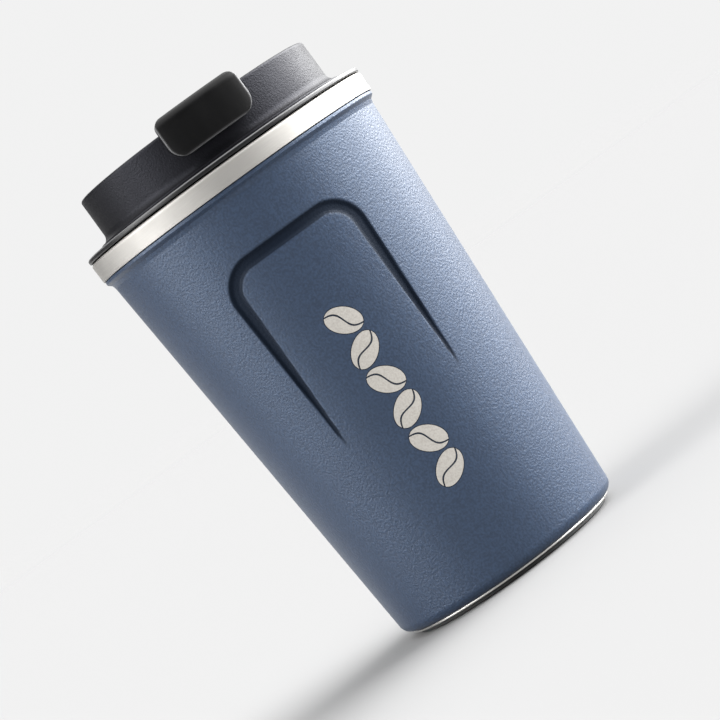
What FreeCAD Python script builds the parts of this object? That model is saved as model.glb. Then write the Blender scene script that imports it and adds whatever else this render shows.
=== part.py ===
import FreeCAD, Part
import math
import os
import Sketcher

# Insulated travel mug, 380 ml: a double-wall steel cup with a screw-in lid and a hinged drinking tongue.
# Origin: centre of the base pad's underside. +Z runs up the mug's axis, and the tongue's tab faces -Y.
# Lengths are millimetres, angles are degrees.

DRIVING_SIZES = [
    # cup, outer wall
    ("body_foot_radius", 35.0, "outer wall radius at body_foot_level"),
    ("body_foot_level", 5.2, "height where the foot radius is taken"),
    ("body_top_radius", 43.2, "outer wall radius at body_top_level"),
    ("body_top_level", 125.6, "top of the straight taper"),
    ("body_underside", 1.9, "underside of the outer wall's turned-in foot"),
    ("foot_round", 3.0, "rounding between the wall and its foot"),
    ("foot_opening_radius", 31.5, "opening in the outer wall's foot"),
    ("steel", 0.5, "thickness of every steel wall"),
    ("shoulder_round", 1.5, "soft hollow between the taper and the bead"),
    ("neck_gap", 0.25, "gap between the outer wall's neck and the band"),
    ("bead_radius", 44.5, "crest of the bead under the band"),
    ("bead_foot_level", 126.7, "top of the slope that leads out to the bead"),
    ("bead_top_level", 127.8, "top of the bead"),
    ("bead_round", 0.35, "rounding of the bead"),
    # debossed arch
    ("arch_depth", 0.7, "depth of the debossed arch"),
    ("arch_half_width", 20.8, "half of the arch's outer width"),
    ("arch_inner_half_width", 17.4, "half of the arch's inner width"),
    ("arch_top_level", 110.9, "top of the arch"),
    ("arch_band", 3.7, "width of the arch's crossbar"),
    ("arch_tip_level", 53.0, "where the legs run out"),
    ("arch_tip_half_width", 18.2, "half of the distance between the tips"),
    ("arch_tip_width", 0.4, "width of a leg at its tip"),
    ("arch_outer_round", 9.2, "outer corner of the arch"),
    ("arch_inner_round", 5.6, "inner corner of the arch"),
    # mouth
    ("band_radius", 45.0, "outer radius of the steel band"),
    ("band_foot_radius", 44.85, "outer radius of the band at its lower edge"),
    ("band_foot_level", 127.8, "lower edge of the band"),
    ("mouth_level", 133.5, "top of the band and the mouth"),
    ("band_round", 0.9, "rounding of the band's upper edge"),
    ("lip_radius", 42.1, "seam between band and liner"),
    # liner
    ("mouth_bore_radius", 39.6, "bore that takes the lid's plug"),
    ("bore_foot_level", 117.0, "lower end of the plug bore"),
    ("liner_shoulder_radius", 37.7, "liner's inside radius below the bore"),
    ("liner_shoulder_level", 108.0, "level of that radius"),
    ("liner_foot_radius", 31.7, "liner's inside radius above its foot"),
    ("liner_floor_level", 14.5, "inside floor of the cup"),
    ("liner_foot_round", 5.0, "rounding of the liner's foot"),
    ("floor_disc_radius", 25.0, "radius of the welded floor disc"),
    ("foil", 0.15, "thickness of the foil"),
    ("foil_foot_level", 22.0, "lower edge of the foil"),
    ("foil_top_level", 106.0, "upper edge of the foil"),
    # base
    ("vacuum_bottom_level", 7.0, "underside of the vacuum bottom"),
    ("vacuum_bottom_round", 2.0, "rounding of its edge"),
    ("dimple_radius", 5.0, "radius of the solder dimple"),
    ("dimple_depth", 1.2, "depth of the solder dimple"),
    ("pump_hole_radius", 0.8, "hole that the air is drawn through"),
    ("getter_radius", 4.0, "radius of the getter tablet"),
    ("getter_thickness", 2.2, "thickness of the getter tablet"),
    ("getter_offset", 14.0, "distance of the getter from the axis"),
    ("clip_width", 3.0, "width of the getter clip"),
    ("clip_foot", 3.0, "length of each foot of the clip"),
    ("cap_radius", 32.7, "radius of the steel base cap"),
    ("cap_underside", 1.3, "underside of the base cap"),
    ("cap_round", 0.2, "rounding of the cap's edge"),
    ("pad_radius", 31.0, "radius of the anti-slip pad"),
    ("pad_round", 0.4, "rounding of the pad's edge"),
    ("pad_recess_radius", 17.3, "radius of the shallow recess in the pad's middle"),
    ("pad_recess", 0.5, "depth of that recess"),
    ("pad_ring_radius", 21.0, "inner radius of the first grip groove"),
    ("pad_ring_step", 3.0, "distance from one grip groove to the next"),
    ("pad_ring_width", 0.9, "width of a grip groove"),
    ("pad_ring_depth", 0.35, "depth of a grip groove"),
    # thread
    ("thread_pitch", 6.0, "lead of the single-start thread"),
    ("thread_height", 7.5, "rise of the thread from start to end"),
    ("thread_depth", 1.0, "depth of the rolled thread in the liner"),
    ("thread_root_width", 2.4, "width of a thread at its root"),
    ("thread_crest_width", 1.0, "width of a thread at its crest"),
    ("liner_thread_level", 122.0, "start of the liner's thread"),
    ("plug_thread_depth", 1.1, "depth of the plug's thread"),
    ("plug_thread_drop", 1.85, "plug thread below the liner thread"),
    ("thread_bite", 0.2, "overlap of a thread with its wall"),
    # lid
    ("lid_turn", 3.3, "angle between the tongue and the arch with the lid tight"),
    ("plug_radius", 38.2, "outer radius of the lid's plug"),
    ("plug_wall", 1.8, "wall of the plug"),
    ("plug_foot_level", 118.6, "underside of the plug"),
    ("plug_floor", 1.8, "floor of the plug"),
    ("flange_underside", 133.8, "underside of the lid's flange"),
    ("flange_edge_level", 135.1, "top of the flange at its edge"),
    ("flange_top_level", 135.5, "top of the flange under the cover"),
    ("flange_round", 0.6, "rounding of the flange's edge"),
    ("seal_groove_radius", 37.0, "bottom of the seal's groove"),
    ("seal_groove_foot", 131.0, "lower wall of the seal's groove"),
    ("seal_inner_radius", 37.3, "inner radius of the seal"),
    ("seal_outer_radius", 39.3, "outer radius of the seal's lips"),
    ("seal_foot_level", 131.3, "underside of the seal"),
    ("seal_top_level", 133.5, "top of the seal"),
    ("seal_waist", 0.6, "depth of the groove between the seal's lips"),
    ("spigot_radius", 34.6, "outer radius of the locating spigot"),
    ("spigot_wall", 1.2, "wall of the spigot"),
    ("spigot_top_level", 138.5, "top of the spigot"),
    ("cover_radius", 37.1, "outer radius of the cover's wall"),
    ("cover_foot_radius", 39.7, "outer radius of the cover's foot"),
    ("cover_foot_level", 136.0, "top of the cover's foot"),
    ("cover_cove", 2.4, "cove between the cover's wall and foot"),
    ("cover_wall", 2.2, "wall of the cover"),
    ("cover_top_level", 148.8, "top of the cover's rim"),
    ("cover_rim_round", 0.8, "rounding of the cover's rim"),
    ("deck_level", 143.4, "top of the recessed deck"),
    ("deck_thickness", 1.8, "thickness of the deck"),
    ("deck_cove", 2.0, "cove where the deck meets the wall"),
    # drinking hole and vent
    ("spout_offset", 25.0, "drinking hole, forward of the axis"),
    ("spout_tube_bore", 4.9, "bore of the drinking tube"),
    ("spout_tube_radius", 6.9, "outer radius of the drinking tube"),
    ("spout_seat_top", 5.6, "gasket bore at its top"),
    ("spout_seat_foot", 4.6, "gasket bore at its foot"),
    ("spout_gasket_radius", 7.0, "outer radius of the spout gasket"),
    ("gasket_lip_radius", 8.2, "outer radius of the gasket's lip"),
    ("gasket_lip", 0.6, "thickness of a gasket's lip"),
    ("gasket_foot_level", 139.0, "foot of both gaskets"),
    ("vent_offset", 8.0, "vent hole, forward of the axis"),
    ("vent_tube_bore", 1.4, "bore of the vent tube"),
    ("vent_tube_radius", 3.2, "outer radius of the vent tube"),
    ("vent_seat_top", 2.5, "vent gasket bore at its top"),
    ("vent_seat_foot", 1.6, "vent gasket bore at its foot"),
    ("vent_gasket_radius", 3.3, "outer radius of the vent gasket"),
    ("vent_lip_radius", 4.0, "outer radius of the vent gasket's lip"),
    # hinge
    ("hinge_offset", 8.0, "hinge axis, behind the mug's axis"),
    ("hinge_level", 146.4, "height of the hinge axis"),
    ("pin_radius", 1.2, "radius of the hinge pin"),
    ("pin_clearance", 0.06, "radial clearance of the pin in the tongue"),
    ("knuckle_radius", 2.6, "radius of the tongue's knuckle"),
    ("knuckle_half_width", 8.0, "half of the knuckle's width"),
    ("lug_gap", 0.3, "gap between knuckle and lug"),
    ("lug_width", 2.6, "thickness of a lug"),
    ("lug_radius", 2.9, "radius of a lug about the hinge axis"),
    ("lug_round", 2.84, "rounding of a lug's upper corners"),
    # tongue
    ("tongue_half_width", 13.0, "half of the tongue's width at the tab"),
    ("tab_outer_radius", 41.2, "outer face of the tab"),
    ("tab_inner_radius", 38.6, "inner face of the tab"),
    ("tab_foot_level", 140.3, "lower edge of the tab"),
    ("tongue_top_level", 152.8, "top of the tongue at the tab"),
    ("strap_thickness", 3.0, "thickness of the strap"),
    ("rim_bridge_level", 149.2, "underside of the strap over the rim"),
    ("bridge_inner_radius", 33.6, "inner edge of the part that bridges the rim"),
    ("taper_start", 28.0, "where the strap starts to narrow, forward of the axis"),
    ("tab_corner_round", 4.6, "lower corners of the tab"),
    ("tab_top_round", 2.4, "rolled upper edge of the tab"),
    ("liner_plate", 1.4, "thickness of the plate under the strap"),
    ("liner_plate_half_width", 7.6, "half of the plate's width"),
    ("liner_plate_front", 32.0, "front edge of the plate"),
    ("liner_plate_back", 3.0, "back edge of the plate, forward of the axis"),
    ("boss_top_level", 147.8, "top of the spout boss inside the plate"),
    ("spout_boss_radius", 5.2, "radius of the spout plug's boss"),
    ("vent_boss_radius", 2.8, "radius of the vent plug's boss"),
    ("vent_boss_top_level", 146.6, "top of the vent boss inside the plate"),
    ("plug_disc_level", 144.4, "underside of the plugs' discs"),
    ("plug_disc", 0.9, "thickness of the plugs' discs"),
    ("plug_stem", 2.0, "length of the plugs' stems"),
    ("spout_plug_tip_level", 139.8, "tip of the spout plug"),
    ("spout_plug_tip_radius", 4.2, "radius of the spout plug at its tip"),
    ("spout_plug_root_radius", 5.2, "radius of the spout plug at its disc"),
    ("spout_disc_radius", 6.6, "radius of the spout plug's disc"),
    ("spout_stem_radius", 2.6, "radius of the spout plug's stem"),
    ("vent_plug_tip_level", 141.9, "tip of the vent plug"),
    ("vent_plug_tip_radius", 1.2, "radius of the vent plug at its tip"),
    ("vent_plug_root_radius", 2.0, "radius of the vent plug at its disc"),
    ("vent_disc_radius", 3.2, "radius of the vent plug's disc"),
    ("vent_stem_radius", 1.2, "radius of the vent plug's stem"),
    ("vent_stem", 0.9, "length of the vent plug's stem"),
]

FULL_TURN = 360
PAD_RINGS = 3
CUT_MARGIN = 2.0   # how far a cutting tool runs past the material
EDGE_MATCH = 0.01  # how near an edge lies to the face that it is looked for on

doc = FreeCAD.newDocument("travel_mug")


class Size:
    """A size as the document's expression for it, with its present value."""

    def __init__(self, text, value):
        self.text = text
        self.value = value

    def __add__(self, other):
        return combine(self, "+", other, self.value + plain(other))

    def __sub__(self, other):
        return combine(self, "-", other, self.value - plain(other))

    def __mul__(self, other):
        return combine(self, "*", other, self.value * plain(other))

    def __truediv__(self, other):
        return combine(self, "/", other, self.value / plain(other))

    def __neg__(self):
        return Size(f"(0 - {self.text})", -self.value)


def plain(number):
    return number.value if isinstance(number, Size) else number


def expression(number):
    return number.text if isinstance(number, Size) else f"{number}"


def combine(left, sign, right, value):
    return Size(f"({left.text} {sign} {expression(right)})", value)


def fill_sheet():
    """The driving sizes, one row each: note, value and alias."""
    sheet = doc.addObject("Spreadsheet::Sheet", "sizes")
    sizes = {}
    for row, (alias, value, note) in enumerate(DRIVING_SIZES, start=1):
        sheet.set(f"A{row}", note)
        sheet.set(f"B{row}", str(value))
        sheet.setAlias(f"B{row}", alias)
        sizes[alias] = Size(f"sizes.{alias}", value)
    doc.recompute()
    return sizes


D = fill_sheet()
ZERO = D["steel"] * 0


def bind(item, prop, size):
    """Set a property from an expression, or from a plain number."""
    if isinstance(size, Size):
        item.setExpression(prop, size.text)
    else:
        setattr(item, prop, size)


def body_taper():
    """Radius gained by the outer wall for each millimetre of height."""
    return (D["body_top_radius"] - D["body_foot_radius"]) / (D["body_top_level"] - D["body_foot_level"])


def wall_radius(level):
    """Outer radius of the cup's taper at a level."""
    return D["body_foot_radius"] + (level - D["body_foot_level"]) * body_taper()


def liner_radius(level):
    """Inside radius of the liner's taper at a level."""
    rise = D["liner_shoulder_level"] - D["liner_floor_level"]
    gain = D["liner_shoulder_radius"] - D["liner_foot_radius"]
    return D["liner_foot_radius"] + (level - D["liner_floor_level"]) * gain / rise


# ---------------------------------------------------------------- sketch and feature helpers

def new_body(label):
    return doc.addObject("PartDesign::Body", label)


def origin_plane(body, role):
    return next(item for item in body.Origin.OriginFeatures if item.Role == role)


def new_sketch(body, name, plane, offset=None):
    """A sketch on one of the body's origin planes, moved along the plane's normal by offset."""
    sketch = body.newObject("Sketcher::SketchObject", name)
    sketch.AttachmentSupport = [(origin_plane(body, plane), "")]
    sketch.MapMode = "FlatFace"
    if offset is not None:
        bind(sketch, "AttachmentOffset.Base.z", offset)
    return sketch


def place_point(sketch, geometry, end, x, y):
    """Dimension a sketch point from the sketch's origin."""
    for kind, size in (("DistanceX", x), ("DistanceY", y)):
        index = sketch.addConstraint(Sketcher.Constraint(kind, -1, 1, geometry, end, size.value))
        sketch.setExpression(f"Constraints[{index}]", size.text)


def add_rounded_corner(sketch, before, corner, after, radius):
    """The arc of a rounded corner. Returns its start, end and the way round it runs."""
    into = (corner - before).normalize()
    out = (after - corner).normalize()
    half_turn = into.getAngle(out) / 2
    reach = radius * math.tan(half_turn)
    start = corner - into * reach
    end = corner + out * reach
    anticlockwise = into.cross(out).z > 0
    side = FreeCAD.Vector(-into.y, into.x, 0) * (1 if anticlockwise else -1)
    centre = start + side * radius
    first, last = (start, end) if anticlockwise else (end, start)
    first_angle = math.atan2(first.y - centre.y, first.x - centre.x)
    last_angle = math.atan2(last.y - centre.y, last.x - centre.x)
    circle = Part.Circle(centre, FreeCAD.Vector(0, 0, 1), radius)
    arc = sketch.addGeometry(Part.ArcOfCircle(circle, first_angle, last_angle), False)
    return arc, start, end, (1, 2) if anticlockwise else (2, 1)


def draw_outline(sketch, corners):
    """A closed outline. Each corner is (x, y) or (x, y, rounding), bound to the sheet's sizes."""
    points = [FreeCAD.Vector(c[0].value, c[1].value, 0) for c in corners]
    count = len(points)
    leave = list(points)
    arrive = list(points)
    arcs = {}
    for i, corner in enumerate(corners):
        if len(corner) == 3:
            arc, start, end, ends = add_rounded_corner(
                sketch, points[i - 1], points[i], points[(i + 1) % count], corner[2].value)
            arrive[i] = start
            leave[i] = end
            arcs[i] = (arc, ends)
    lines = [sketch.addGeometry(Part.LineSegment(leave[i], arrive[(i + 1) % count]), False)
             for i in range(count)]
    for i, corner in enumerate(corners):
        if i in arcs:
            arc, (near, far) = arcs[i]
            vertex = sketch.addGeometry(Part.Point(points[i]), True)
            sketch.addConstraint([
                Sketcher.Constraint("Tangent", lines[i - 1], 2, arc, near),
                Sketcher.Constraint("Tangent", arc, far, lines[i], 1),
                Sketcher.Constraint("PointOnObject", vertex, 1, lines[i - 1]),
                Sketcher.Constraint("PointOnObject", vertex, 1, lines[i]),
            ])
            index = sketch.addConstraint(Sketcher.Constraint("Radius", arc, corner[2].value))
            sketch.setExpression(f"Constraints[{index}]", corner[2].text)
            place_point(sketch, vertex, 1, corner[0], corner[1])
        else:
            sketch.addConstraint(Sketcher.Constraint("Coincident", lines[i - 1], 2, lines[i], 1))
            place_point(sketch, lines[i], 1, corner[0], corner[1])
    return sketch


def draw_circle(sketch, x, y, radius):
    circle = Part.Circle(FreeCAD.Vector(x.value, y.value, 0), FreeCAD.Vector(0, 0, 1), radius.value)
    index = sketch.addGeometry(circle, False)
    place_point(sketch, index, 3, x, y)
    size = sketch.addConstraint(Sketcher.Constraint("Radius", index, radius.value))
    sketch.setExpression(f"Constraints[{size}]", radius.text)
    return sketch


def revolve(body, name, corners):
    """Turn an (r, z) outline about the mug's axis."""
    sketch = draw_outline(new_sketch(body, f"{name}_profile", "XZ_Plane"), corners)
    feature = body.newObject("PartDesign::Revolution", name)
    feature.Profile = sketch
    feature.ReferenceAxis = (sketch, ["V_Axis"])
    feature.Angle = FULL_TURN
    return feature


def pad(body, sketch, name, length, symmetric=False):
    feature = body.newObject("PartDesign::Pad", name)
    feature.Profile = sketch
    bind(feature, "Length", length)
    if symmetric:
        feature.SideType = "Symmetric"
    return feature


def pocket(body, sketch, name, length=None, symmetric=False, upward=False):
    """Cut a sketch out of the body, by default through everything below it."""
    feature = body.newObject("PartDesign::Pocket", name)
    feature.Profile = sketch
    if length is None:
        feature.Type = "ThroughAll"
    else:
        bind(feature, "Length", length)
    if symmetric:
        feature.SideType = "Symmetric"
    feature.Reversed = upward
    return feature


def thread(body, name, root_radius, crest_radius, level):
    """A single-start helical ridge from root to crest, starting at a level."""
    outward = crest_radius.value > root_radius.value
    bite = D["thread_bite"] if not outward else -D["thread_bite"]
    root = D["thread_root_width"] / 2
    crest = D["thread_crest_width"] / 2
    sketch = draw_outline(new_sketch(body, f"{name}_profile", "XZ_Plane"), [
        (root_radius + bite, level - root),
        (root_radius + bite, level + root),
        (crest_radius, level + crest),
        (crest_radius, level - crest),
    ])
    helix = body.newObject("PartDesign::AdditiveHelix", name)
    helix.Profile = sketch
    helix.ReferenceAxis = (sketch, ["V_Axis"])
    helix.Mode = "pitch-height-angle"
    bind(helix, "Pitch", D["thread_pitch"])
    bind(helix, "Height", D["thread_height"])
    helix.Angle = 0
    return helix


def turn_with_lid(item):
    """The lid's pieces stand at the angle where the thread is tight."""
    item.Placement = FreeCAD.Placement(FreeCAD.Vector(), FreeCAD.Rotation())
    item.setExpression("Placement.Rotation.Angle", D["lid_turn"].text)
    return item


def round_edges(body, name, test, radius):
    """Fillet the edges of the body's tip that pass the test."""
    doc.recompute()
    base = body.Tip
    edges = [f"Edge{i}" for i, edge in enumerate(base.Shape.Edges, start=1) if test(edge)]
    if not edges:
        raise RuntimeError(f"{name}: no edge to round")
    feature = body.newObject("PartDesign::Fillet", name)
    feature.Base = (base, edges)
    bind(feature, "Radius", radius)
    return feature


# ---------------------------------------------------------------- cup

def outer_shell():
    """Tapered outer wall with its foot turned in, a soft bead at the top and a neck inside the band."""
    skin = new_body("shell_skin")
    inside_taper = wall_radius(D["body_underside"]) - D["steel"]
    neck = D["band_foot_radius"] - D["steel"] - D["neck_gap"]
    neck_top = D["mouth_level"] - D["steel"] * 2
    revolve(skin, "skin", [
        (D["foot_opening_radius"], D["body_underside"]),
        (wall_radius(D["body_underside"]), D["body_underside"], D["foot_round"]),
        (D["body_top_radius"], D["body_top_level"], D["shoulder_round"]),
        (D["bead_radius"], D["bead_foot_level"], D["bead_round"]),
        (D["bead_radius"], D["bead_top_level"], D["bead_round"]),
        (neck, D["bead_top_level"]),
        (neck, neck_top),
        (neck - D["steel"], neck_top),
        (neck - D["steel"], D["bead_top_level"] - D["steel"]),
        (D["body_top_radius"] - D["steel"], D["body_top_level"]),
        (inside_taper, D["body_underside"] + D["steel"], D["foot_round"] - D["steel"]),
        (D["foot_opening_radius"], D["body_underside"] + D["steel"]),
    ])
    groove = arch_tool("arch_groove", ZERO, D["arch_depth"], -D["steel"])
    backing = arch_tool("arch_backing", D["steel"], D["arch_depth"] + D["steel"], D["steel"] / 2)
    backed = doc.addObject("Part::Fuse", "backed_skin")
    backed.Base = skin
    backed.Tool = backing
    shell = doc.addObject("Part::Cut", "outer_shell")
    shell.Base = backed
    shell.Tool = groove
    return shell


def arch_tool(name, spread, depth, start):
    """The arch on front and back, from start to depth below the taper, widened by spread."""
    track = new_body(f"{name}_track")
    outer = D["arch_half_width"] + spread
    inner = D["arch_inner_half_width"] - spread
    tip_outer = D["arch_tip_half_width"] + D["arch_tip_width"] / 2 + spread
    tip_inner = D["arch_tip_half_width"] - D["arch_tip_width"] / 2 - spread
    top = D["arch_top_level"] + spread
    crossbar = D["arch_top_level"] - D["arch_band"] - spread
    tip = D["arch_tip_level"] - spread
    outline = draw_outline(new_sketch(track, f"{name}_outline", "XZ_Plane"), [
        (-tip_outer, tip),
        (-tip_inner, tip),
        (-inner, crossbar, D["arch_inner_round"]),
        (inner, crossbar, D["arch_inner_round"]),
        (tip_inner, tip),
        (tip_outer, tip),
        (outer, top, D["arch_outer_round"]),
        (-outer, top, D["arch_outer_round"]),
    ])
    pad(track, outline, f"{name}_pad", D["band_radius"] * 2, symmetric=True)
    layer = new_body(f"{name}_layer")
    low = D["arch_tip_level"] - spread - CUT_MARGIN
    high = D["arch_top_level"] + spread + CUT_MARGIN
    revolve(layer, f"{name}_ring", [
        (wall_radius(low) - depth, low),
        (wall_radius(low) - start, low),
        (wall_radius(high) - start, high),
        (wall_radius(high) - depth, high),
    ])
    tool = doc.addObject("Part::Common", name)
    tool.Base = track
    tool.Tool = layer
    return tool


def rim_band():
    """Bare steel ring over the bead's neck, turned in to the mouth."""
    body = new_body("rim_band")
    steel = D["steel"]
    revolve(body, "band", [
        (D["band_foot_radius"] - steel, D["band_foot_level"]),
        (D["band_foot_radius"], D["band_foot_level"]),
        (D["band_radius"], D["mouth_level"], D["band_round"]),
        (D["lip_radius"], D["mouth_level"]),
        (D["lip_radius"], D["mouth_level"] - steel),
        (D["band_foot_radius"] - steel, D["mouth_level"] - steel, D["band_round"] - steel),
    ])
    return body


def inner_liner():
    """Inner wall from the mouth's flare to the rounded foot, with the rolled thread."""
    body = new_body("inner_liner")
    steel = D["steel"]
    flare = D["lip_radius"] - D["mouth_bore_radius"]
    foot = liner_radius(D["liner_floor_level"])
    under = liner_radius(D["liner_floor_level"] - steel)
    revolve(body, "liner_wall", [
        (D["floor_disc_radius"], D["liner_floor_level"]),
        (foot, D["liner_floor_level"], D["liner_foot_round"]),
        (D["liner_shoulder_radius"], D["liner_shoulder_level"]),
        (D["mouth_bore_radius"], D["bore_foot_level"]),
        (D["mouth_bore_radius"], D["mouth_level"], flare - steel),
        (D["lip_radius"], D["mouth_level"]),
        (D["lip_radius"], D["mouth_level"] - steel),
        (D["mouth_bore_radius"] + steel, D["mouth_level"] - steel, flare - steel * 2),
        (D["mouth_bore_radius"] + steel, D["bore_foot_level"]),
        (D["liner_shoulder_radius"] + steel, D["liner_shoulder_level"]),
        (under + steel, D["liner_floor_level"] - steel, D["liner_foot_round"] + steel),
        (D["floor_disc_radius"], D["liner_floor_level"] - steel),
    ])
    thread(body, "liner_thread", D["mouth_bore_radius"], D["mouth_bore_radius"] - D["thread_depth"],
           D["liner_thread_level"])
    return body


def liner_floor():
    """Disc welded into the liner's foot."""
    disc = doc.addObject("Part::Cylinder", "liner_floor")
    bind(disc, "Radius", D["floor_disc_radius"])
    bind(disc, "Height", D["steel"])
    bind(disc, "Placement.Base.z", D["liner_floor_level"] - D["steel"])
    return disc


def radiation_foil():
    """Foil wrapped round the liner in the vacuum space."""
    body = new_body("radiation_foil")
    low = D["foil_foot_level"]
    high = D["foil_top_level"]
    revolve(body, "foil_wrap", [
        (liner_radius(low) + D["steel"], low),
        (liner_radius(low) + D["steel"] + D["foil"], low),
        (liner_radius(high) + D["steel"] + D["foil"], high),
        (liner_radius(high) + D["steel"], high),
    ])
    return body


def vacuum_bottom():
    """Pressed pan that closes the vacuum space, with a raised solder dimple at its centre."""
    body = new_body("vacuum_bottom")
    steel = D["steel"]
    under = D["vacuum_bottom_level"]
    edge = D["foot_opening_radius"]
    slope = D["dimple_radius"] - D["dimple_depth"]
    revolve(body, "pan", [
        (D["pump_hole_radius"], under + D["dimple_depth"]),
        (slope, under + D["dimple_depth"]),
        (D["dimple_radius"], under),
        (edge - steel, under, D["vacuum_bottom_round"]),
        (edge - steel, D["body_underside"]),
        (edge, D["body_underside"]),
        (edge, under + steel, D["vacuum_bottom_round"] + steel),
        (D["dimple_radius"] + steel, under + steel),
        (slope + steel, under + D["dimple_depth"] + steel),
        (D["pump_hole_radius"], under + D["dimple_depth"] + steel),
    ])
    return body


def vacuum_seal():
    """Solder bead that fills the dimple."""
    body = new_body("vacuum_seal")
    under = D["vacuum_bottom_level"]
    top = under + D["dimple_depth"]
    slope = D["dimple_radius"] - D["dimple_depth"]
    revolve(body, "solder", [
        (ZERO, under + D["steel"] / 2),
        (slope, under + D["steel"] / 2),
        (slope, top),
        (ZERO, top),
    ])
    return body


def getter():
    """Tablet that binds the gas left in the vacuum."""
    tablet = doc.addObject("Part::Cylinder", "getter")
    bind(tablet, "Radius", D["getter_radius"])
    bind(tablet, "Height", D["getter_thickness"])
    bind(tablet, "Placement.Base.x", D["getter_offset"])
    bind(tablet, "Placement.Base.z", D["vacuum_bottom_level"] + D["steel"])
    return tablet


def getter_clip():
    """Bent strip welded to the vacuum bottom on both sides of the getter."""
    body = new_body("getter_clip")
    steel = D["steel"]
    foot = D["vacuum_bottom_level"] + steel
    top = foot + D["getter_thickness"]
    left = D["getter_offset"] - D["getter_radius"]
    right = D["getter_offset"] + D["getter_radius"]
    sketch = draw_outline(new_sketch(body, "clip_side", "XZ_Plane"), [
        (left - D["clip_foot"], foot),
        (left, foot),
        (left, top),
        (right, top),
        (right, foot),
        (right + D["clip_foot"], foot),
        (right + D["clip_foot"], foot + steel),
        (right + steel, foot + steel),
        (right + steel, top + steel),
        (left - steel, top + steel),
        (left - steel, foot + steel),
        (left - D["clip_foot"], foot + steel),
    ])
    pad(body, sketch, "clip_strip", D["clip_width"], symmetric=True)
    return body


def base_cap():
    """Bare steel disc over the foot of the outer wall."""
    body = new_body("base_cap")
    revolve(body, "cap_disc", [
        (ZERO, D["cap_underside"]),
        (D["cap_radius"], D["cap_underside"], D["cap_round"]),
        (D["cap_radius"], D["body_underside"]),
        (ZERO, D["body_underside"]),
    ])
    return body


def base_pad():
    """Anti-slip pad that the mug stands on, with grip grooves round a shallow recess."""
    body = new_body("base_pad")
    grooves = []
    for ring in range(PAD_RINGS):
        inner = D["pad_ring_radius"] + D["pad_ring_step"] * ring
        outer = inner + D["pad_ring_width"]
        grooves += [(inner, ZERO), (inner, D["pad_ring_depth"]), (outer, D["pad_ring_depth"]), (outer, ZERO)]
    revolve(body, "pad_disc", [
        (ZERO, D["pad_recess"]),
        (D["pad_recess_radius"], D["pad_recess"]),
        (D["pad_recess_radius"], ZERO),
        *grooves,
        (D["pad_radius"], ZERO, D["pad_round"]),
        (D["pad_radius"], D["cap_underside"]),
        (ZERO, D["cap_underside"]),
    ])
    return body


# ---------------------------------------------------------------- lid

def lid_cover():
    """Upper shell: wall with a cove at its foot, rim, recessed deck and two hinge lugs."""
    body = new_body("lid_cover")
    inner = D["cover_radius"] - D["cover_wall"]
    underside = D["deck_level"] - D["deck_thickness"]
    revolve(body, "cover_shell", [
        (inner, D["flange_top_level"]),
        (D["cover_foot_radius"], D["flange_top_level"]),
        (D["cover_foot_radius"], D["cover_foot_level"]),
        (D["cover_radius"], D["cover_foot_level"], D["cover_cove"]),
        (D["cover_radius"], D["cover_top_level"], D["cover_rim_round"]),
        (inner, D["cover_top_level"], D["cover_rim_round"]),
        (inner, D["deck_level"], D["deck_cove"]),
        (ZERO, D["deck_level"]),
        (ZERO, underside),
        (inner, underside),
    ])
    for side, name in ((-1, "left_lug"), (1, "right_lug")):
        add_lug(body, name, side)
    holes = new_sketch(body, "deck_holes", "XY_Plane", D["deck_level"])
    draw_circle(holes, ZERO, -D["spout_offset"], D["spout_gasket_radius"])
    draw_circle(holes, ZERO, -D["vent_offset"], D["vent_gasket_radius"])
    pocket(body, holes, "deck_hole_cut")
    bore = new_sketch(body, "lug_bore", "YZ_Plane")
    draw_circle(bore, D["hinge_offset"], D["hinge_level"], D["pin_radius"])
    pocket(body, bore, "lug_bore_cut", D["band_radius"], symmetric=True)
    return turn_with_lid(body)


def add_lug(body, name, side):
    """A rounded ear that rises from the deck to the hinge axis."""
    inner = D["knuckle_half_width"] + D["lug_gap"]
    start = inner if side > 0 else -(inner + D["lug_width"])
    flank = D["lug_radius"]
    sketch = new_sketch(body, f"{name}_side", "YZ_Plane", start)
    draw_outline(sketch, [
        (D["hinge_offset"] - flank, D["deck_level"] - D["deck_thickness"] / 2),
        (D["hinge_offset"] + flank, D["deck_level"] - D["deck_thickness"] / 2),
        (D["hinge_offset"] + flank, D["hinge_level"] + flank, D["lug_round"]),
        (D["hinge_offset"] - flank, D["hinge_level"] + flank, D["lug_round"]),
    ])
    return pad(body, sketch, name, D["lug_width"])


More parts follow.
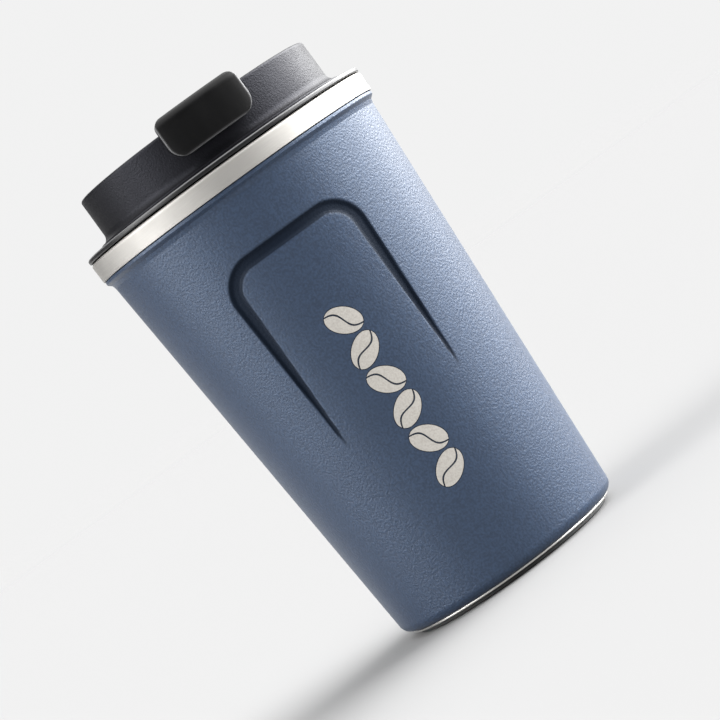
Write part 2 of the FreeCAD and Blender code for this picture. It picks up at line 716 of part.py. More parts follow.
def lid_base():
    """Flange and threaded plug in one moulding, with a floor, a spigot and the two tubes."""
    body = new_body("lid_base")
    inner = D["plug_radius"] - D["plug_wall"]
    floor_top = D["plug_foot_level"] + D["plug_floor"]
    revolve(body, "plug_wall", [
        (ZERO, D["plug_foot_level"]),
        (D["plug_radius"], D["plug_foot_level"], D["plug_wall"] / 2),
        (D["plug_radius"], D["seal_groove_foot"]),
        (D["seal_groove_radius"], D["seal_groove_foot"]),
        (D["seal_groove_radius"], D["flange_underside"]),
        (D["band_radius"], D["flange_underside"], D["flange_round"] / 2),
        (D["band_radius"], D["flange_edge_level"], D["flange_round"]),
        (D["cover_foot_radius"], D["flange_top_level"]),
        (D["spigot_radius"], D["flange_top_level"]),
        (D["spigot_radius"], D["spigot_top_level"]),
        (D["spigot_radius"] - D["spigot_wall"], D["spigot_top_level"]),
        (D["spigot_radius"] - D["spigot_wall"], D["flange_underside"]),
        (inner, D["flange_underside"] - D["spigot_wall"]),
        (inner, floor_top, D["plug_wall"] / 2),
        (ZERO, floor_top),
    ])
    thread(body, "plug_thread", D["plug_radius"], D["plug_radius"] + D["plug_thread_depth"],
           D["liner_thread_level"] - D["plug_thread_drop"])
    tube_length = D["gasket_foot_level"] - floor_top + D["plug_floor"] / 2
    tubes = new_sketch(body, "tube_walls", "XY_Plane", floor_top - D["plug_floor"] / 2)
    draw_circle(tubes, ZERO, -D["spout_offset"], D["spout_tube_radius"])
    draw_circle(tubes, ZERO, -D["vent_offset"], D["vent_tube_radius"])
    pad(body, tubes, "tubes", tube_length)
    bores = new_sketch(body, "tube_bores", "XY_Plane", D["gasket_foot_level"])
    draw_circle(bores, ZERO, -D["spout_offset"], D["spout_tube_bore"])
    draw_circle(bores, ZERO, -D["vent_offset"], D["vent_tube_bore"])
    pocket(body, bores, "tube_bore_cut")
    return turn_with_lid(body)


def gasket(name, offset, seat_foot, seat_top, radius, lip_radius):
    """A silicone sleeve with a conical seat and a lip on the deck."""
    body = new_body(name)
    foot = D["gasket_foot_level"]
    top = D["deck_level"] + D["gasket_lip"]
    revolve(body, f"{name}_sleeve", [
        (seat_foot, foot),
        (radius, foot),
        (radius, D["deck_level"]),
        (lip_radius, D["deck_level"]),
        (lip_radius, top),
        (seat_top, top),
    ])
    return stand_forward(body, offset)


def stand_forward(body, offset):
    """Stand a piece forward of the mug's axis, in the turned lid."""
    turn = D["lid_turn"]
    body.Placement = FreeCAD.Placement(FreeCAD.Vector(), FreeCAD.Rotation())
    body.setExpression("Placement.Base.x", f"{offset.text} * sin({turn.text} * 1deg)")
    body.setExpression("Placement.Base.y", f"0 - {offset.text} * cos({turn.text} * 1deg)")
    return body


def spout_gasket():
    return gasket("spout_gasket", D["spout_offset"], D["spout_seat_foot"], D["spout_seat_top"],
                  D["spout_gasket_radius"], D["gasket_lip_radius"])


def vent_gasket():
    return gasket("vent_gasket", D["vent_offset"], D["vent_seat_foot"], D["vent_seat_top"],
                  D["vent_gasket_radius"], D["vent_lip_radius"])


def hinge_pin():
    """Steel pin pressed into both lugs."""
    body = new_body("hinge_pin")
    sketch = new_sketch(body, "pin_section", "YZ_Plane")
    draw_circle(sketch, D["hinge_offset"], D["hinge_level"], D["pin_radius"])
    span = D["knuckle_half_width"] + D["lug_gap"] + D["lug_width"]
    pad(body, sketch, "pin", span * 2, symmetric=True)
    return turn_with_lid(body)


def lid_seal():
    """Silicone ring with two lips, in the plug's groove."""
    body = new_body("lid_seal")
    middle = (D["seal_foot_level"] + D["seal_top_level"]) / 2
    lip = (D["seal_top_level"] - D["seal_foot_level"]) / 4
    revolve(body, "seal_ring", [
        (D["seal_inner_radius"], D["seal_foot_level"]),
        (D["seal_outer_radius"], D["seal_foot_level"]),
        (D["seal_outer_radius"], middle - lip),
        (D["seal_outer_radius"] - D["seal_waist"], middle),
        (D["seal_outer_radius"], middle + lip),
        (D["seal_outer_radius"], D["seal_top_level"]),
        (D["seal_inner_radius"], D["seal_top_level"]),
    ])
    return body


# ---------------------------------------------------------------- tongue

def strap_top(forward):
    """Height of the strap's upper face at a distance forward of the axis."""
    low = D["hinge_level"] + D["knuckle_radius"]
    reach = D["tab_inner_radius"] + D["hinge_offset"]
    return low + (forward + D["hinge_offset"]) * (D["tongue_top_level"] - low) / reach


def flip_tongue():
    """Strap from the hinge to the front, with a tab that hangs over the lid's wall."""
    body = new_body("flip_tongue")
    front = D["tab_outer_radius"] + D["strap_thickness"]
    back = D["bridge_inner_radius"] + D["steel"]
    side = draw_outline(new_sketch(body, "hook_side", "YZ_Plane"), [
        (-front, D["tab_foot_level"]),
        (-back, D["tab_foot_level"]),
        (-back, strap_top(back) - D["strap_thickness"]),
        (D["hinge_offset"], D["hinge_level"] + D["knuckle_radius"] - D["strap_thickness"]),
        (D["hinge_offset"], D["hinge_level"] + D["knuckle_radius"]),
        (-D["tab_inner_radius"], D["tongue_top_level"]),
        (-front, D["tongue_top_level"]),
    ])
    pad(body, side, "hook", D["tongue_half_width"] * 2, symmetric=True)
    trim_tab(body)
    trim_strap_sides(body)
    knuckle = new_sketch(body, "knuckle_section", "YZ_Plane")
    draw_circle(knuckle, D["hinge_offset"], D["hinge_level"], D["knuckle_radius"])
    pad(body, knuckle, "knuckle", D["knuckle_half_width"] * 2, symmetric=True)
    bore = new_sketch(body, "pin_bore", "YZ_Plane")
    draw_circle(bore, D["hinge_offset"], D["hinge_level"], D["pin_radius"] + D["pin_clearance"])
    pocket(body, bore, "pin_bore_cut", D["band_radius"], symmetric=True)
    round_edges(body, "tab_corners", is_tab_corner, D["tab_corner_round"])
    round_edges(body, "tab_roll", is_tab_top, D["tab_top_round"])
    return turn_with_lid(body)


def trim_tab(body):
    """Give the tab its curved outer and inner faces, and clear the rim under the strap."""
    outer = new_sketch(body, "tab_outer", "XY_Plane", D["tongue_top_level"] + CUT_MARGIN)
    draw_circle(outer, ZERO, ZERO, D["tab_outer_radius"])
    draw_circle(outer, ZERO, ZERO, D["band_radius"] + CUT_MARGIN)
    pocket(body, outer, "tab_outer_cut")
    inner = new_sketch(body, "tab_inner", "XY_Plane", D["rim_bridge_level"])
    draw_circle(inner, ZERO, ZERO, D["tab_inner_radius"])
    draw_circle(inner, ZERO, ZERO, D["bridge_inner_radius"])
    pocket(body, inner, "tab_inner_cut")


def trim_strap_sides(body):
    """Narrow the strap from the tab's width to the knuckle's width."""
    wide = D["tongue_half_width"]
    narrow = D["knuckle_half_width"]
    back = D["hinge_offset"] + D["knuckle_radius"] + CUT_MARGIN
    for side, name in ((-1, "left"), (1, "right")):
        sketch = new_sketch(body, f"{name}_waist", "XY_Plane", D["tongue_top_level"] + CUT_MARGIN)
        draw_outline(sketch, [
            (wide * side, -D["taper_start"]),
            (narrow * side, -D["knuckle_radius"]),
            (narrow * side, back),
            ((wide + CUT_MARGIN) * side, back),
            ((wide + CUT_MARGIN) * side, -D["taper_start"]),
        ])
        pocket(body, sketch, f"{name}_waist_cut")


def is_tab_corner(edge):
    """The two lower edges of the tab that run from its outer to its inner face."""
    low = abs(edge.BoundBox.ZMax - D["tab_foot_level"].value) < EDGE_MATCH
    at_side = abs(abs(edge.CenterOfMass.x) - D["tongue_half_width"].value) < EDGE_MATCH
    return low and at_side


def is_tab_top(edge):
    """The upper front edge of the tab."""
    high = abs(edge.BoundBox.ZMin - D["tongue_top_level"].value) < EDGE_MATCH
    forward = edge.BoundBox.YMin < EDGE_MATCH - D["tab_outer_radius"].value
    return high and forward


def tongue_liner():
    """Plate under the strap with a boss for each plug."""
    body = new_body("tongue_liner")
    front = D["liner_plate_front"]
    back = D["liner_plate_back"]
    top_front = strap_top(front) - D["strap_thickness"]
    top_back = strap_top(back) - D["strap_thickness"]
    side = draw_outline(new_sketch(body, "plate_side", "YZ_Plane"), [
        (-front, top_front - D["liner_plate"]),
        (-back, top_back - D["liner_plate"]),
        (-back, top_back),
        (-front, top_front),
    ])
    pad(body, side, "plate", D["liner_plate_half_width"] * 2, symmetric=True)
    disc_top = D["plug_disc_level"] + D["plug_disc"]
    add_boss(body, "spout", D["spout_offset"], D["spout_boss_radius"], disc_top, D["boss_top_level"])
    add_boss(body, "vent", D["vent_offset"], D["vent_boss_radius"], disc_top, D["vent_boss_top_level"])
    cut_stem_hole(body, "spout", D["spout_offset"], D["spout_stem_radius"], disc_top, D["plug_stem"])
    cut_stem_hole(body, "vent", D["vent_offset"], D["vent_stem_radius"], disc_top, D["vent_stem"])
    return turn_with_lid(body)


def add_boss(body, name, offset, radius, low, high):
    sketch = new_sketch(body, f"{name}_boss_section", "XY_Plane", low)
    draw_circle(sketch, ZERO, -offset, radius)
    pad(body, sketch, f"{name}_boss", high - low)


def cut_stem_hole(body, name, offset, radius, low, depth):
    sketch = new_sketch(body, f"{name}_stem_section", "XY_Plane", low)
    draw_circle(sketch, ZERO, -offset, radius)
    pocket(body, sketch, f"{name}_stem_hole", depth, upward=True)


def stopper(name, offset, tip_level, tip_radius, root_radius, disc_radius, stem_radius, stem):
    """A conical silicone plug with a disc and a stem."""
    body = new_body(name)
    disc_foot = D["plug_disc_level"]
    disc_top = disc_foot + D["plug_disc"]
    revolve(body, f"{name}_cone", [
        (ZERO, tip_level),
        (tip_radius, tip_level),
        (root_radius, disc_foot),
        (disc_radius, disc_foot),
        (disc_radius, disc_top),
        (stem_radius, disc_top),
        (stem_radius, disc_top + stem),
        (ZERO, disc_top + stem),
    ])
    return stand_forward(body, offset)


def spout_plug():
    return stopper("spout_plug", D["spout_offset"], D["spout_plug_tip_level"],
                   D["spout_plug_tip_radius"], D["spout_plug_root_radius"],
                   D["spout_disc_radius"], D["spout_stem_radius"], D["plug_stem"])


def vent_plug():
    return stopper("vent_plug", D["vent_offset"], D["vent_plug_tip_level"],
                   D["vent_plug_tip_radius"], D["vent_plug_root_radius"],
                   D["vent_disc_radius"], D["vent_stem_radius"], D["vent_stem"])


# ---------------------------------------------------------------- document

NODE_MAKERS = [
    outer_shell, rim_band, inner_liner, liner_floor, radiation_foil, vacuum_bottom, vacuum_seal,
    getter, getter_clip, base_cap, base_pad,
    lid_cover, lid_base, spout_gasket, vent_gasket, hinge_pin, lid_seal,
    flip_tongue, tongue_liner, spout_plug, vent_plug,
]


def check_document():
    """Every object of the document is computed without failure."""
    for item in doc.Objects:
        if "Invalid" in item.State or "Error" in item.State:
            raise RuntimeError(f"{item.Label} failed: {item.State}")


def check_node(node):
    shape = node.Shape
    if shape.isNull() or not shape.isValid() or len(shape.Solids) != 1:
        raise RuntimeError(f"{node.Label} is not one valid solid")


def main():
    nodes = [make() for make in NODE_MAKERS]
    doc.recompute()
    check_document()
    os.makedirs("parts", exist_ok=True)
    for node in nodes:
        check_node(node)
    for node in nodes:
        node.Shape.exportStep(f"parts/{node.Label}.step")
        print(f"{node.Label}: {node.Shape.Volume:.1f} mm3")


main()
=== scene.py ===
import math

import bmesh
import bpy
import numpy as np
from mathutils import Matrix, Vector


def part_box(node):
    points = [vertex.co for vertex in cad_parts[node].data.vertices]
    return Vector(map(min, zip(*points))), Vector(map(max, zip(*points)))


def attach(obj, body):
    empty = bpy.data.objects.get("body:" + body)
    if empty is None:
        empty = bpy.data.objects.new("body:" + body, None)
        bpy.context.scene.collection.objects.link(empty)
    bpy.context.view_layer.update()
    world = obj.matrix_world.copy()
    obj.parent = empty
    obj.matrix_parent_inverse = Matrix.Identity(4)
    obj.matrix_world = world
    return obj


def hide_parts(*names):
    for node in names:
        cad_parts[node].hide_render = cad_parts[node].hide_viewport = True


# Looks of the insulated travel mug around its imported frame: coated cup with a pressed arch and a
# column of beans, brushed mouth band, grained lid cover, satin tongue, silicone seats and stoppers.
# Sizes are in millimetres until a mesh is made. +Z runs up the mug's axis, and -Y is the front.

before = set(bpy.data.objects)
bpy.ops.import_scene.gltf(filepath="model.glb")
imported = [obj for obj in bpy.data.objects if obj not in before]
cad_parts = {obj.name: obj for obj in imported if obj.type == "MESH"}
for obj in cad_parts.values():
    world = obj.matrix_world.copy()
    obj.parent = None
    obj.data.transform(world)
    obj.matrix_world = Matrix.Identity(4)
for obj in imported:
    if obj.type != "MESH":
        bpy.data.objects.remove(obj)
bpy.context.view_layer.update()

MM = 0.001
LID_TURN = math.radians(3.3)     # the tightened lid stands this far round from the arch
STEEL = 0.5                      # wall thickness of the steel pieces


def box_mm(node):
    """Lowest and highest corner of a CAD node, in millimetres."""
    low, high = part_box(node)
    return low / MM, high / MM


SHELL_LOW, SHELL_HIGH = box_mm("outer_shell")
BAND_LOW, BAND_HIGH = box_mm("rim_band")
FLANGE_LOW, FLANGE_HIGH = box_mm("lid_base")
COVER_LOW, COVER_HIGH = box_mm("lid_cover")
CAP_LOW, CAP_HIGH = box_mm("base_cap")
PAD_LOW, PAD_HIGH = box_mm("base_pad")
TONGUE_TOP = box_mm("flip_tongue")[1].z

# cup wall, from its turned-in foot to the bead and neck under the mouth band
FOOT_RADIUS, FOOT_LEVEL = 35.0, 5.2
TOP_RADIUS, TOP_LEVEL = 43.2, 125.6
TAPER = (TOP_RADIUS - FOOT_RADIUS) / (TOP_LEVEL - FOOT_LEVEL)
UNDERSIDE = SHELL_LOW.z
SOLE_RADIUS = 31.5
FOOT_ROUND, FOOT_TOP = 3.0, 7.0
SWELL_LEVEL = 124.0
BEAD_RADIUS = SHELL_HIGH.x
BEAD_FOOT, BEAD_TOP = 126.7, 127.7
NECK_RADIUS, NECK_INNER = 43.9, 43.4
PLAIN_ROW, ARCH_ROW = 4.0, 0.4   # heights between the wall's rows, plain and along the arch
ARCH_SECTOR = 36                 # degrees to each side of the arch's middle with close columns

# pressed arch: its middle line and band, and how the press and its painted shade (darker coat,
# dimmed gloss) fade out
ARCH_DEPTH = 0.7
ARCH_HALF_WIDTH = 19.1           # middle of a leg at the shoulders
ARCH_TIP_HALF_WIDTH = 18.2
ARCH_TOP = 109.05                # middle of the crossbar
ARCH_TIP = 53.0
ARCH_ROUND = 8.0
ARCH_HALF_BAND = 1.92
LEG_THINNING, LEG_THINNING_POWER = 0.88, 1.15
PRESS_FADE, SHADE_FADE = (0.42, 0.98), (0.86, 1.12)  # from the middle line, in half bands
PRESS_RUNOUT, SHADE_RUNOUT = 0.5, 0.12               # up from the tip, in leg lengths
# strength of the painted shade in the arch's groove
ARCH_SHADE = 0.93

# mouth band and pad
BAND_LEAN, BAND_MOUTH = 0.15, 42.1
DISH_RADIUS, DISH_EDGE, DISH_DEPTH = 17.0, 17.6, 0.5
GROOVES = (21.0, 24.0, 27.0)
GROOVE_WIDTH, GROOVE_SLOPE, GROOVE_DEPTH = 0.9, 0.15, 0.35

# decorative column of beans on the front
MARK_LOW, MARK_HIGH = 30.0, 87.0
BEANS = 6
BEAN_LENGTH, BEAN_WIDTH, BEAN_CLEFT = 10.4, 7.0, 0.5
BEAN_TILT = math.radians(50)
CLEFT_SWING, CLEFT_WAVES = 0.16, 0.9    # in bean widths, and half waves to each side
BEAN_ROOT = -0.08                # a bean starts this far under the coat
OUTLINE_MARGIN = 0.22

# lid cover, its deck with two openings, and its hinge
WALL_FOOT, WALL_TOP, WALL_INNER = 37.15, 37.1, 34.9
COVE_LEVEL = 136.0
DECK_LEVEL, DECK_THICKNESS = 143.4, 1.8
DECK_CUT = (140, 145)            # levels that the openings' tools reach from and to
SPOUT_FORWARD, SPOUT_HOLE = 25.0, 6.98
VENT_FORWARD, VENT_HOLE = 8.0, 3.28
SEAT_FOOT, SEAT_LIP = 139.0, 0.6
HINGE_BACK, HINGE_LEVEL = 8.0, 146.4
KNUCKLE_HALF, LUG_GAP, LUG_WIDTH = 8.0, 0.3, 2.6
KNUCKLE_RADIUS, PIN_RADIUS, PIN_HOLE = 2.6, 1.2, 1.26
EAR_RADIUS, EAR_FLARE, EAR_SKIRT, EAR_SINK = 2.9, 0.6, 1.6, 0.9
EAR_BEVEL = 0.3

# flange, plug, tubes and thread of the lid's lower moulding
PLUG_OUTER, PLUG_INNER = 38.2, 36.4
PLUG_FLOOR, PLUG_SHOULDER = 120.4, 132.6
WAIST_RADIUS, WAIST_FOOT = 37.0, 131.0
FLANGE_FOOT, FLANGE_EDGE, FLANGE_DISH = 133.8, 135.1, 135.3
RIDGE_OUTER, RIDGE_INNER, RIDGE_TOP = 40.2, 39.9, 135.45
SPIGOT_OUTER, SPIGOT_INNER, SPIGOT_TOP = 34.6, 33.4, 138.5
TUBE_SPAN, BORE_SPAN = (119.5, 139.0), (110, 145)
SPOUT_TUBE, SPOUT_BORE = 6.9, 4.9
VENT_TUBE, VENT_BORE = 3.2, 1.4
THREAD_ROOT, THREAD_CREST, THREAD_START = 38.0, 39.3, 120.15
THREAD_PITCH, THREAD_RISE = 6.0, 7.5
THREAD_ROOT_HALF, THREAD_CREST_HALF = 1.25, 0.5
THREAD_RUNOUT = 0.05             # share of the helix over which each end runs out
FLANGE_HIGHLIGHT_RADIUS, FLANGE_HIGHLIGHT_WIDTH, FLANGE_HIGHLIGHT_LEVEL = 44.84, 0.16, 134.6    # painted highlight line along the flange's upper edge

# tongue: the tab's outside, and the plate's rows and the painted highlight line along its edge
TAB_OUTER, TAB_FOOT = 41.2, 140.3
TAB_HALF_WIDTH, TAB_CORNER = 13.0, 4.6
TAB_BEND, TAB_SHOULDER = 2.7, 2.4
STRAP_HALF, TAB_HALF = 1.5, 1.3  # half thicknesses
STRAP_ROWS, BEND_ROWS = 26, 12
TAB_FIRST_ROW = 0.86             # share of the tab's height
TAB_ROWS = (6.0, 4.6, 3.5, 2.6, 1.8, 1.2, 0.75, 0.42, 0.2, 0.06, 0.0)   # above the tab's foot
# the third span is where the painted highlight line on the tongue's edge fades in
STRAP_WIDENS, STRAP_CURVES, HIGHLIGHT_SPAN = (0.0, 30.0), (24.0, 38.0), (36.0, 40.0)   # forward
EDGE_ROUND, EDGE_TUCK = 0.75, 0.4
# painted highlight line on the tongue's rounded edge: its depth below the outer face and its width
HIGHLIGHT_DEPTH, HIGHLIGHT_WIDTH = 0.25, 0.22
DRILL_HALF = 9.5
STOPPER_SHOULDER, STOPPER_TOP = 144.4, 145.3

# colours
COAT_BLUE = (0.0158, 0.0258, 0.0485)
COAT_BLUE_LIGHT = (0.0245, 0.0415, 0.077)
# painted shade in the arch's groove: darker coat
COAT_BLUE_SHADED = (0.0045, 0.0070, 0.0128)
COAT_GLOSS = (0.68, 0.80, 1.0)
# painted shade in the arch's groove: dimmed gloss
COAT_GLOSS_SHADED = (0.04, 0.06, 0.09)
BARE_STEEL = (0.72, 0.71, 0.68)
BAND_STEEL = (0.43, 0.418, 0.398)
FOIL = (0.86, 0.86, 0.87)
COVER_BLACK = (0.0034, 0.0034, 0.0041)
COVER_GLOSS = (0.82, 0.84, 1.0)
FLANGE_BLACK = (0.0042, 0.0042, 0.0046)
TONGUE_BLACK = (0.0018, 0.0018, 0.0020)
# grey of the painted highlight lines along the tongue's and flange's edges
HIGHLIGHT_GREY = (0.16, 0.16, 0.165)
PAD_BLACK = (0.016, 0.016, 0.016)
SILICONE_GREY = (0.34, 0.34, 0.33)
CREAM, CREAM_LIGHT = (0.335, 0.314, 0.284), (0.420, 0.400, 0.368)
# painted shadow outlining the beans
OUTLINE_SHADE, OUTLINE_SHADE_LIGHT = (0.006, 0.009, 0.016), (0.016, 0.022, 0.036)
GETTER_GREY = (0.22, 0.22, 0.23)
SOLDER_GREEN = (0.20, 0.24, 0.20)

# camera
CAMERA_AZIMUTH, CAMERA_ELEVATION = math.radians(-2.56), math.radians(1.93)
CAMERA_ROLL = math.radians(-36.04)
CAMERA_DISTANCE = 0.85
CAMERA_LENS, CAMERA_SENSOR = 155.8, 36
AIM_RIGHT, AIM_LEVEL = -0.00087, 0.07002

# floor and room: FLOOR_ALBEDO gives the lit floor the radiance ROOM_PALE
FLOOR_ALBEDO = 0.2391
FLOOR_FULL, FLOOR_GONE = 1.3, 5.0        # metres from the mug over which the floor melts away
ROOM_SCALE = 20.0
ROOM_PALE, ROOM_TOP = 0.885, 2.4
TOP_START, TOP_FULL = 0.58, 0.88         # sines of the elevations where the ring becomes the top
# radiance of the room round the horizon: bearing in degrees from the front towards +X, and level
ROOM_RING = [
    (-180, ROOM_PALE), (-166, ROOM_PALE), (-160, 0.12), (-104, 0.12), (-92, 6.6), (-72, 8.4),
    (-58, 5.8), (-42, 1.2), (-24, 0.12), (34, 0.15), (50, 1.0), (68, 14.0), (100, 16.5),
    (122, 18.0), (138, 8.5), (152, 3.6), (163, ROOM_PALE), (180, ROOM_PALE),
]


# -------------------------------- measures

def wall_radius(level):
    """Outside radius of the cup's taper."""
    return FOOT_RADIUS + (level - FOOT_LEVEL) * TAPER


def smoothstep(low, high, x):
    t = np.clip((x - low) / (high - low), 0, 1)
    return t * t * (3 - 2 * t)


def near(value, middle, width):
    """1 at the middle, falling to 0 at a width away from it."""
    return max(0.0, 1 - abs(value - middle) / width)


def arc_inset(left, radius):
    """How far a rounded corner has pulled in at a distance left from its end."""
    if left >= radius:
        return 0.0
    return radius - math.sqrt(max(0.0, radius ** 2 - (radius - left) ** 2))


# -------------------------------- mesh helpers

def shade_smooth(piece, sharp_angle=35):
    """Smooth shading that keeps hard edges crisp."""
    piece.data.polygons.foreach_set("use_smooth", [True] * len(piece.data.polygons))
    piece.data.set_sharp_from_angle(angle=math.radians(sharp_angle))
    return piece


def smooth_object(name, mesh, sharp_angle=35):
    """Link a mesh as a smooth-shaded object."""
    piece = bpy.data.objects.new(name, mesh)
    bpy.context.scene.collection.objects.link(piece)
    return shade_smooth(piece, sharp_angle)


def mesh_from(name, points, faces):
    """A mesh from points in millimetres."""
    mesh = bpy.data.meshes.new(name)
    mesh.from_pydata([tuple(p) for p in np.asarray(points) * MM], [], faces)
    mesh.validate()
    return mesh


def between_rings(first, second, count):
    """Quads between two rings of points, given by the index of each ring's first point."""
    return [(first + k, first + (k + 1) % count, second + (k + 1) % count, second + k)
            for k in range(count)]


def face_outward(mesh):
    shape = bmesh.new()
    shape.from_mesh(mesh)
    bmesh.ops.recalc_face_normals(shape, faces=shape.faces)
    shape.to_mesh(mesh)
    shape.free()


def mark_points(mesh, name, values):
    """Keep a number at each point, for a material to read."""
    attribute = mesh.attributes.new(name, "FLOAT", "POINT")
    attribute.data.foreach_set("value", np.asarray(values, np.float32))


def rounded_outline(corners, step=9.0):
    """Points of a closed outline whose corners (x, y, radius) are arcs, with support points."""
    points = []
    count = len(corners)
    for i, (x, y, radius) in enumerate(corners):
        here = np.array([x, y], float)
        before = np.array(corners[i - 1][:2], float)
        after = np.array(corners[(i + 1) % count][:2], float)
        into = (here - before) / np.linalg.norm(here - before)
        out = (after - here) / np.linalg.norm(after - here)
        turn = math.atan2(into[0] * out[1] - into[1] * out[0], into @ out)
        if radius <= 0 or abs(turn) < 1e-3:
            points.append(here)
            continue
        start = here - into * radius * math.tan(abs(turn) / 2)
        side = np.array([-into[1], into[0]]) * math.copysign(1, turn)
        centre = start + side * radius
        arm = start - centre
        pieces = max(3, math.ceil(abs(math.degrees(turn)) / step))
        for k in range(pieces + 1):
            angle = turn * k / pieces
            c, s = math.cos(angle), math.sin(angle)
            points.append(centre + np.array([c * arm[0] - s * arm[1], s * arm[0] + c * arm[1]]))
    return add_supports(points)


def add_supports(points, inset=0.12, longest=4.0):
    """Split long runs and hold their ends, so that smooth shading stays flat along them."""
    result = []
    count = len(points)
    for i, here in enumerate(points):
        after = points[(i + 1) % count]
        length = np.linalg.norm(after - here)
        result.append(here)
        if length < inset * 4:
            continue
        direction = (after - here) / length
        inner = length - 2 * inset
        parts = max(1, math.ceil(inner / longest))
        for k in range(parts + 1):
            result.append(here + direction * (inset + inner * k / parts))
    return result


def turned(name, corners, columns=288):
    """A solid of revolution about the mug's axis from an (r, z, radius) outline."""
    angles = np.arange(columns) * (2 * math.pi / columns)
    rings = []
    for r, z in rounded_outline(corners):
        if r < 1e-6:
            rings.append(np.array([[0.0, 0.0, z]]))
        else:
            level = np.full(columns, z)
            rings.append(np.stack([r * np.sin(angles), -r * np.cos(angles), level], 1))
    starts = np.cumsum([0] + [len(ring) for ring in rings])
    faces = []
    for i, ring in enumerate(rings):
        j = (i + 1) % len(rings)
        first, second = starts[i], starts[j]
        wide, next_wide = len(ring) > 1, len(rings[j]) > 1
        if wide and next_wide:
            faces += between_rings(first, second, columns)
        elif wide:
            faces += [(first + k, first + (k + 1) % columns, second) for k in range(columns)]
        elif next_wide:
            faces += [(first, second + (k + 1) % columns, second + k) for k in range(columns)]
    mesh = mesh_from(name, np.concatenate(rings), faces)
    face_outward(mesh)
    return smooth_object(name, mesh)


def cylinder_tool(name, radius, low, high, forward=0.0, columns=96):
    """A plain cylinder forward of the axis, to join or to cut with."""
    tool = turned(name, [(0, low, 0), (radius, low, 0), (radius, high, 0), (0, high, 0)], columns)
    tool.data.transform(Matrix.Translation((0, -forward * MM, 0)))
    return tool


def combine(target, tool, operation):
    """Apply a boolean with another piece, which is then removed."""
    modifier = target.modifiers.new(operation.lower(), "BOOLEAN")
    modifier.operation = operation
    modifier.solver = "EXACT"
    modifier.object = tool
    graph = bpy.context.evaluated_depsgraph_get()
    result = bpy.data.meshes.new_from_object(target.evaluated_get(graph))
    target.modifiers.remove(modifier)
    target.data = result
    bpy.data.objects.remove(tool)


def lay_in_hinge(piece):
    """Lay a piece that was made along the mug's axis along the hinge's axis."""
    piece.data.transform(Matrix.Translation((0, HINGE_BACK * MM, HINGE_LEVEL * MM))
                         @ Matrix.Rotation(math.pi / 2, 4, "Y"))
    return piece


def place_in_lid(piece, forward=0.0):
    """Stand a piece forward of the axis in the turned lid, and bake that into its mesh."""
    piece.data.transform(Matrix.Rotation(LID_TURN, 4, "Z")
                         @ Matrix.Translation((0, -forward * MM, 0)))
    return piece


# -------------------------------- material helpers

def new_material(name):
    material = bpy.data.materials.new(name)
    material.use_nodes = True
    nodes = material.node_tree.nodes
    return material, nodes, material.node_tree.links, nodes["Principled BSDF"]


def add_node(nodes, kind, **settings):
    """A node with inputs and properties set by name."""
    node = nodes.new(kind)
    for key, value in settings.items():
        if key in node.inputs:
            node.inputs[key].default_value = value
        else:
            setattr(node, key, value)
    return node


def feed(links, socket, value):
    """Link an output to a socket, or set a colour or a number on it."""
    if hasattr(value, "is_output"):
        links.new(value, socket)
    elif isinstance(value, tuple):
        socket.default_value = (*value, 1)
    else:
        socket.default_value = value


def object_coordinates(nodes, links, stretch=(1, 1, 1)):
    """Object coordinates, stretched along each axis."""
    source = nodes.new("ShaderNodeTexCoord")
    mapping = nodes.new("ShaderNodeMapping")
    mapping.inputs["Scale"].default_value = stretch
    links.new(source.outputs["Object"], mapping.inputs["Vector"])
    return mapping.outputs["Vector"]


def noise(nodes, links, vector, grain_mm, detail=3.0, roughness=0.55):
    """Noise whose features are about grain_mm across."""
    texture = add_node(nodes, "ShaderNodeTexNoise", Scale=1 / (grain_mm * MM), Detail=detail,
                       Roughness=roughness)
    links.new(vector, texture.inputs["Vector"])
    return texture.outputs["Fac"]


def point_mark(nodes, name):
    """The number that mark_points kept under a name."""
    return add_node(nodes, "ShaderNodeAttribute", attribute_name=name).outputs["Fac"]


def ramp(nodes, links, factor, stops):
    """A colour ramp from (position, colour) stops."""
    node = nodes.new("ShaderNodeValToRGB")
    elements = node.color_ramp.elements
    while len(elements) < len(stops):
        elements.new(0.5)
    for element, (position, colour) in zip(elements, stops):
        element.position = position
        element.color = (*colour, 1)
    links.new(factor, node.inputs["Fac"])
    return node.outputs["Color"]


def spread(nodes, links, factor, low, high, from_low=0.3, from_high=0.7, smooth=False):
    """Map a factor onto a range of numbers."""
    node = add_node(nodes, "ShaderNodeMapRange")
    if smooth:
        node.interpolation_type = "SMOOTHSTEP"
    node.inputs["From Min"].default_value = from_low
    node.inputs["From Max"].default_value = from_high
    node.inputs["To Min"].default_value = low
    node.inputs["To Max"].default_value = high
    links.new(factor, node.inputs["Value"])
    return node.outputs["Result"]


def maths(nodes, links, operation, first, second):
    """A sum, product or angle of two outputs or numbers."""
    node = add_node(nodes, "ShaderNodeMath", operation=operation)
    feed(links, node.inputs[0], first)
    feed(links, node.inputs[1], second)
    return node.outputs[0]


def mix_colour(nodes, links, factor, first, second):
    """Mix two colours; the node's inputs 6 and 7 and its output 2 are the colour ones."""
    node = add_node(nodes, "ShaderNodeMix", data_type="RGBA")
    feed(links, node.inputs[0], factor)
    feed(links, node.inputs[6], first)
    feed(links, node.inputs[7], second)
    return node.outputs[2]


def bump(nodes, links, height, distance_mm, strength, under=None):
    """A bumped normal, over the normal of another bump if one is given."""
    node = add_node(nodes, "ShaderNodeBump", Strength=strength, Distance=distance_mm * MM)
    links.new(height, node.inputs["Height"])
    if under is not None:
        links.new(under, node.inputs["Normal"])
    return node.outputs["Normal"]


def scaled(colour, factor):
    return tuple(c * factor for c in colour)


def paint(piece, material):
    """Give a piece one material all over."""
    piece.data.materials.clear()
    piece.data.materials.append(material)


# -------------------------------- materials

